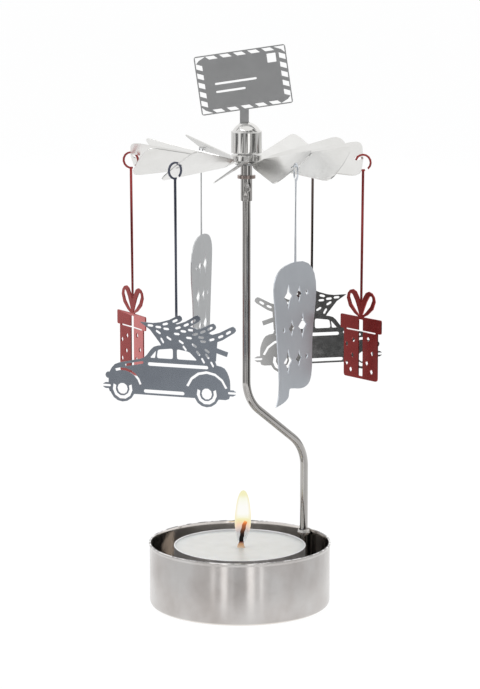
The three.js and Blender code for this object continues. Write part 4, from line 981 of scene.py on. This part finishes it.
def sheet_materials():
    """The finish of every sheet piece, under the name that dress_sheets asks for. The two cars
    share one steel, and so do the two bubbles; their different colours are painted shade and
    reflection.
    """
    sheets = {
        "wheel": metal("bright_sheet", (0.74, 0.735, 0.715), (0.79, 0.785, 0.77), (0.2, 0.24),
                       300.0, (1.0, 1.0, 1.0), 0.001, edge_mm=0.03),
        "sign": metal("matt_sheet", (0.52, 0.525, 0.53), (0.58, 0.585, 0.59), (0.28, 0.34),
                      900.0, (1.0, 1.0, 1.0), 0.003, edge_mm=0.06),
        # Painted shade and reflection: the front car is darker and bluer and the rear car lighter,
        # though both are one steel; their strips and rings are painted darker still.
        "car": metal("car_steel_painted_shade", (0.32, 0.35, 0.4), (0.35, 0.385, 0.435), (0.22, 0.25),
                     500.0, (1.0, 1.0, 1.0), 0.001, edge_mm=0.06, hanger_painted_shade=(0.1, 0.11, 0.15)),
        "car_back": metal("car_steel_painted_light", (0.5, 0.5, 0.5), (0.58, 0.58, 0.57), (0.1, 0.16),
                          500.0, (1.0, 1.0, 1.0), 0.003, edge_mm=0.06,
                          hanger_painted_shade=(0.16, 0.12, 0.11)),
        # Painted reflection: the front bubble is bluer and the rear one greyer, though both are one
        # steel.
        "bubble": metal("bubble_steel_painted_blue_reflection", (0.62, 0.655, 0.7), (0.68, 0.715, 0.76), (0.28, 0.36),
                        500.0, (1.0, 1.0, 1.0), 0.003, edge_mm=0.08),
        "bubble_back": metal("bubble_steel_painted_grey_reflection", (0.6, 0.615, 0.625), (0.66, 0.675, 0.685),
                             (0.28, 0.36), 500.0, (1.0, 1.0, 1.0), 0.003, edge_mm=0.08),
        "red": metal("red_lacquer", (0.33, 0.034, 0.032), (0.39, 0.045, 0.042), (0.2, 0.26),
                     500.0, (1.0, 1.0, 1.0), 0.003, edge_mm=0.08),
    }
    lacquer = sheets["red"].node_tree.nodes["Principled BSDF"]
    lacquer.inputs["Coat Weight"].default_value = 0.4
    lacquer.inputs["Coat Roughness"].default_value = 0.08
    return sheets


def main():
    bpy.context.scene.view_settings.view_transform = "Standard"
    add_camera()
    set_world()
    add_floor()
    for name, (radius, bottom, top, strips) in TENTS.items():
        add_tent(name, radius, bottom, top, strips)
    for name, (spot, target, width, height, power) in SOFTBOXES.items():
        add_softbox(name, spot, target, width, height, power)

    wire_steel = metal("drawn_wire", (0.46, 0.445, 0.43), (0.54, 0.525, 0.51), (0.1, 0.13),
                       1500.0, (1.0, 1.0, 0.06), 0.0003)
    ring_steel = metal("coppered_steel", (0.34, 0.27, 0.25), (0.44, 0.37, 0.34), (0.2, 0.3),
                       1500.0, (1.0, 1.0, 1.0), 0.002)
    bright = metal("needle_steel", (0.5, 0.5, 0.5), (0.6, 0.6, 0.6), (0.12, 0.2),
                   1500.0, (1.0, 1.0, 1.0), 0.002)
    knob_steel = metal("polished_knob", (0.72, 0.715, 0.7), (0.8, 0.79, 0.77), (0.05, 0.1),
                       700.0, (1.0, 1.0, 0.2), 0.001)
    foil = metal("pressed_foil", (0.74, 0.74, 0.75), (0.84, 0.84, 0.85), (0.3, 0.4),
                 1200.0, (1.0, 1.0, 0.3), 0.003)

    add_cup(satin_cup_material())
    add_tealight(foil, wax_material())
    add_wick(wick_material())
    add_flame()
    add_mast(wire_steel)
    add_sleeve(wire_steel)
    add_knob(knob_steel)
    dress_sheets(sheet_materials())
    place(dressed_copy("snap_ring", "snap_ring_clip", 30.0), "stand", ring_steel,
          "coppered_steel", "snap_ring")
    for node, material in (("mast_weld", wire_steel), ("needle", bright), ("hub_eyelet", bright),
                           ("bearing_cup", bright), ("wick_clip", foil)):
        nodes[node].data.materials.clear()
        nodes[node].data.materials.append(material)


main()
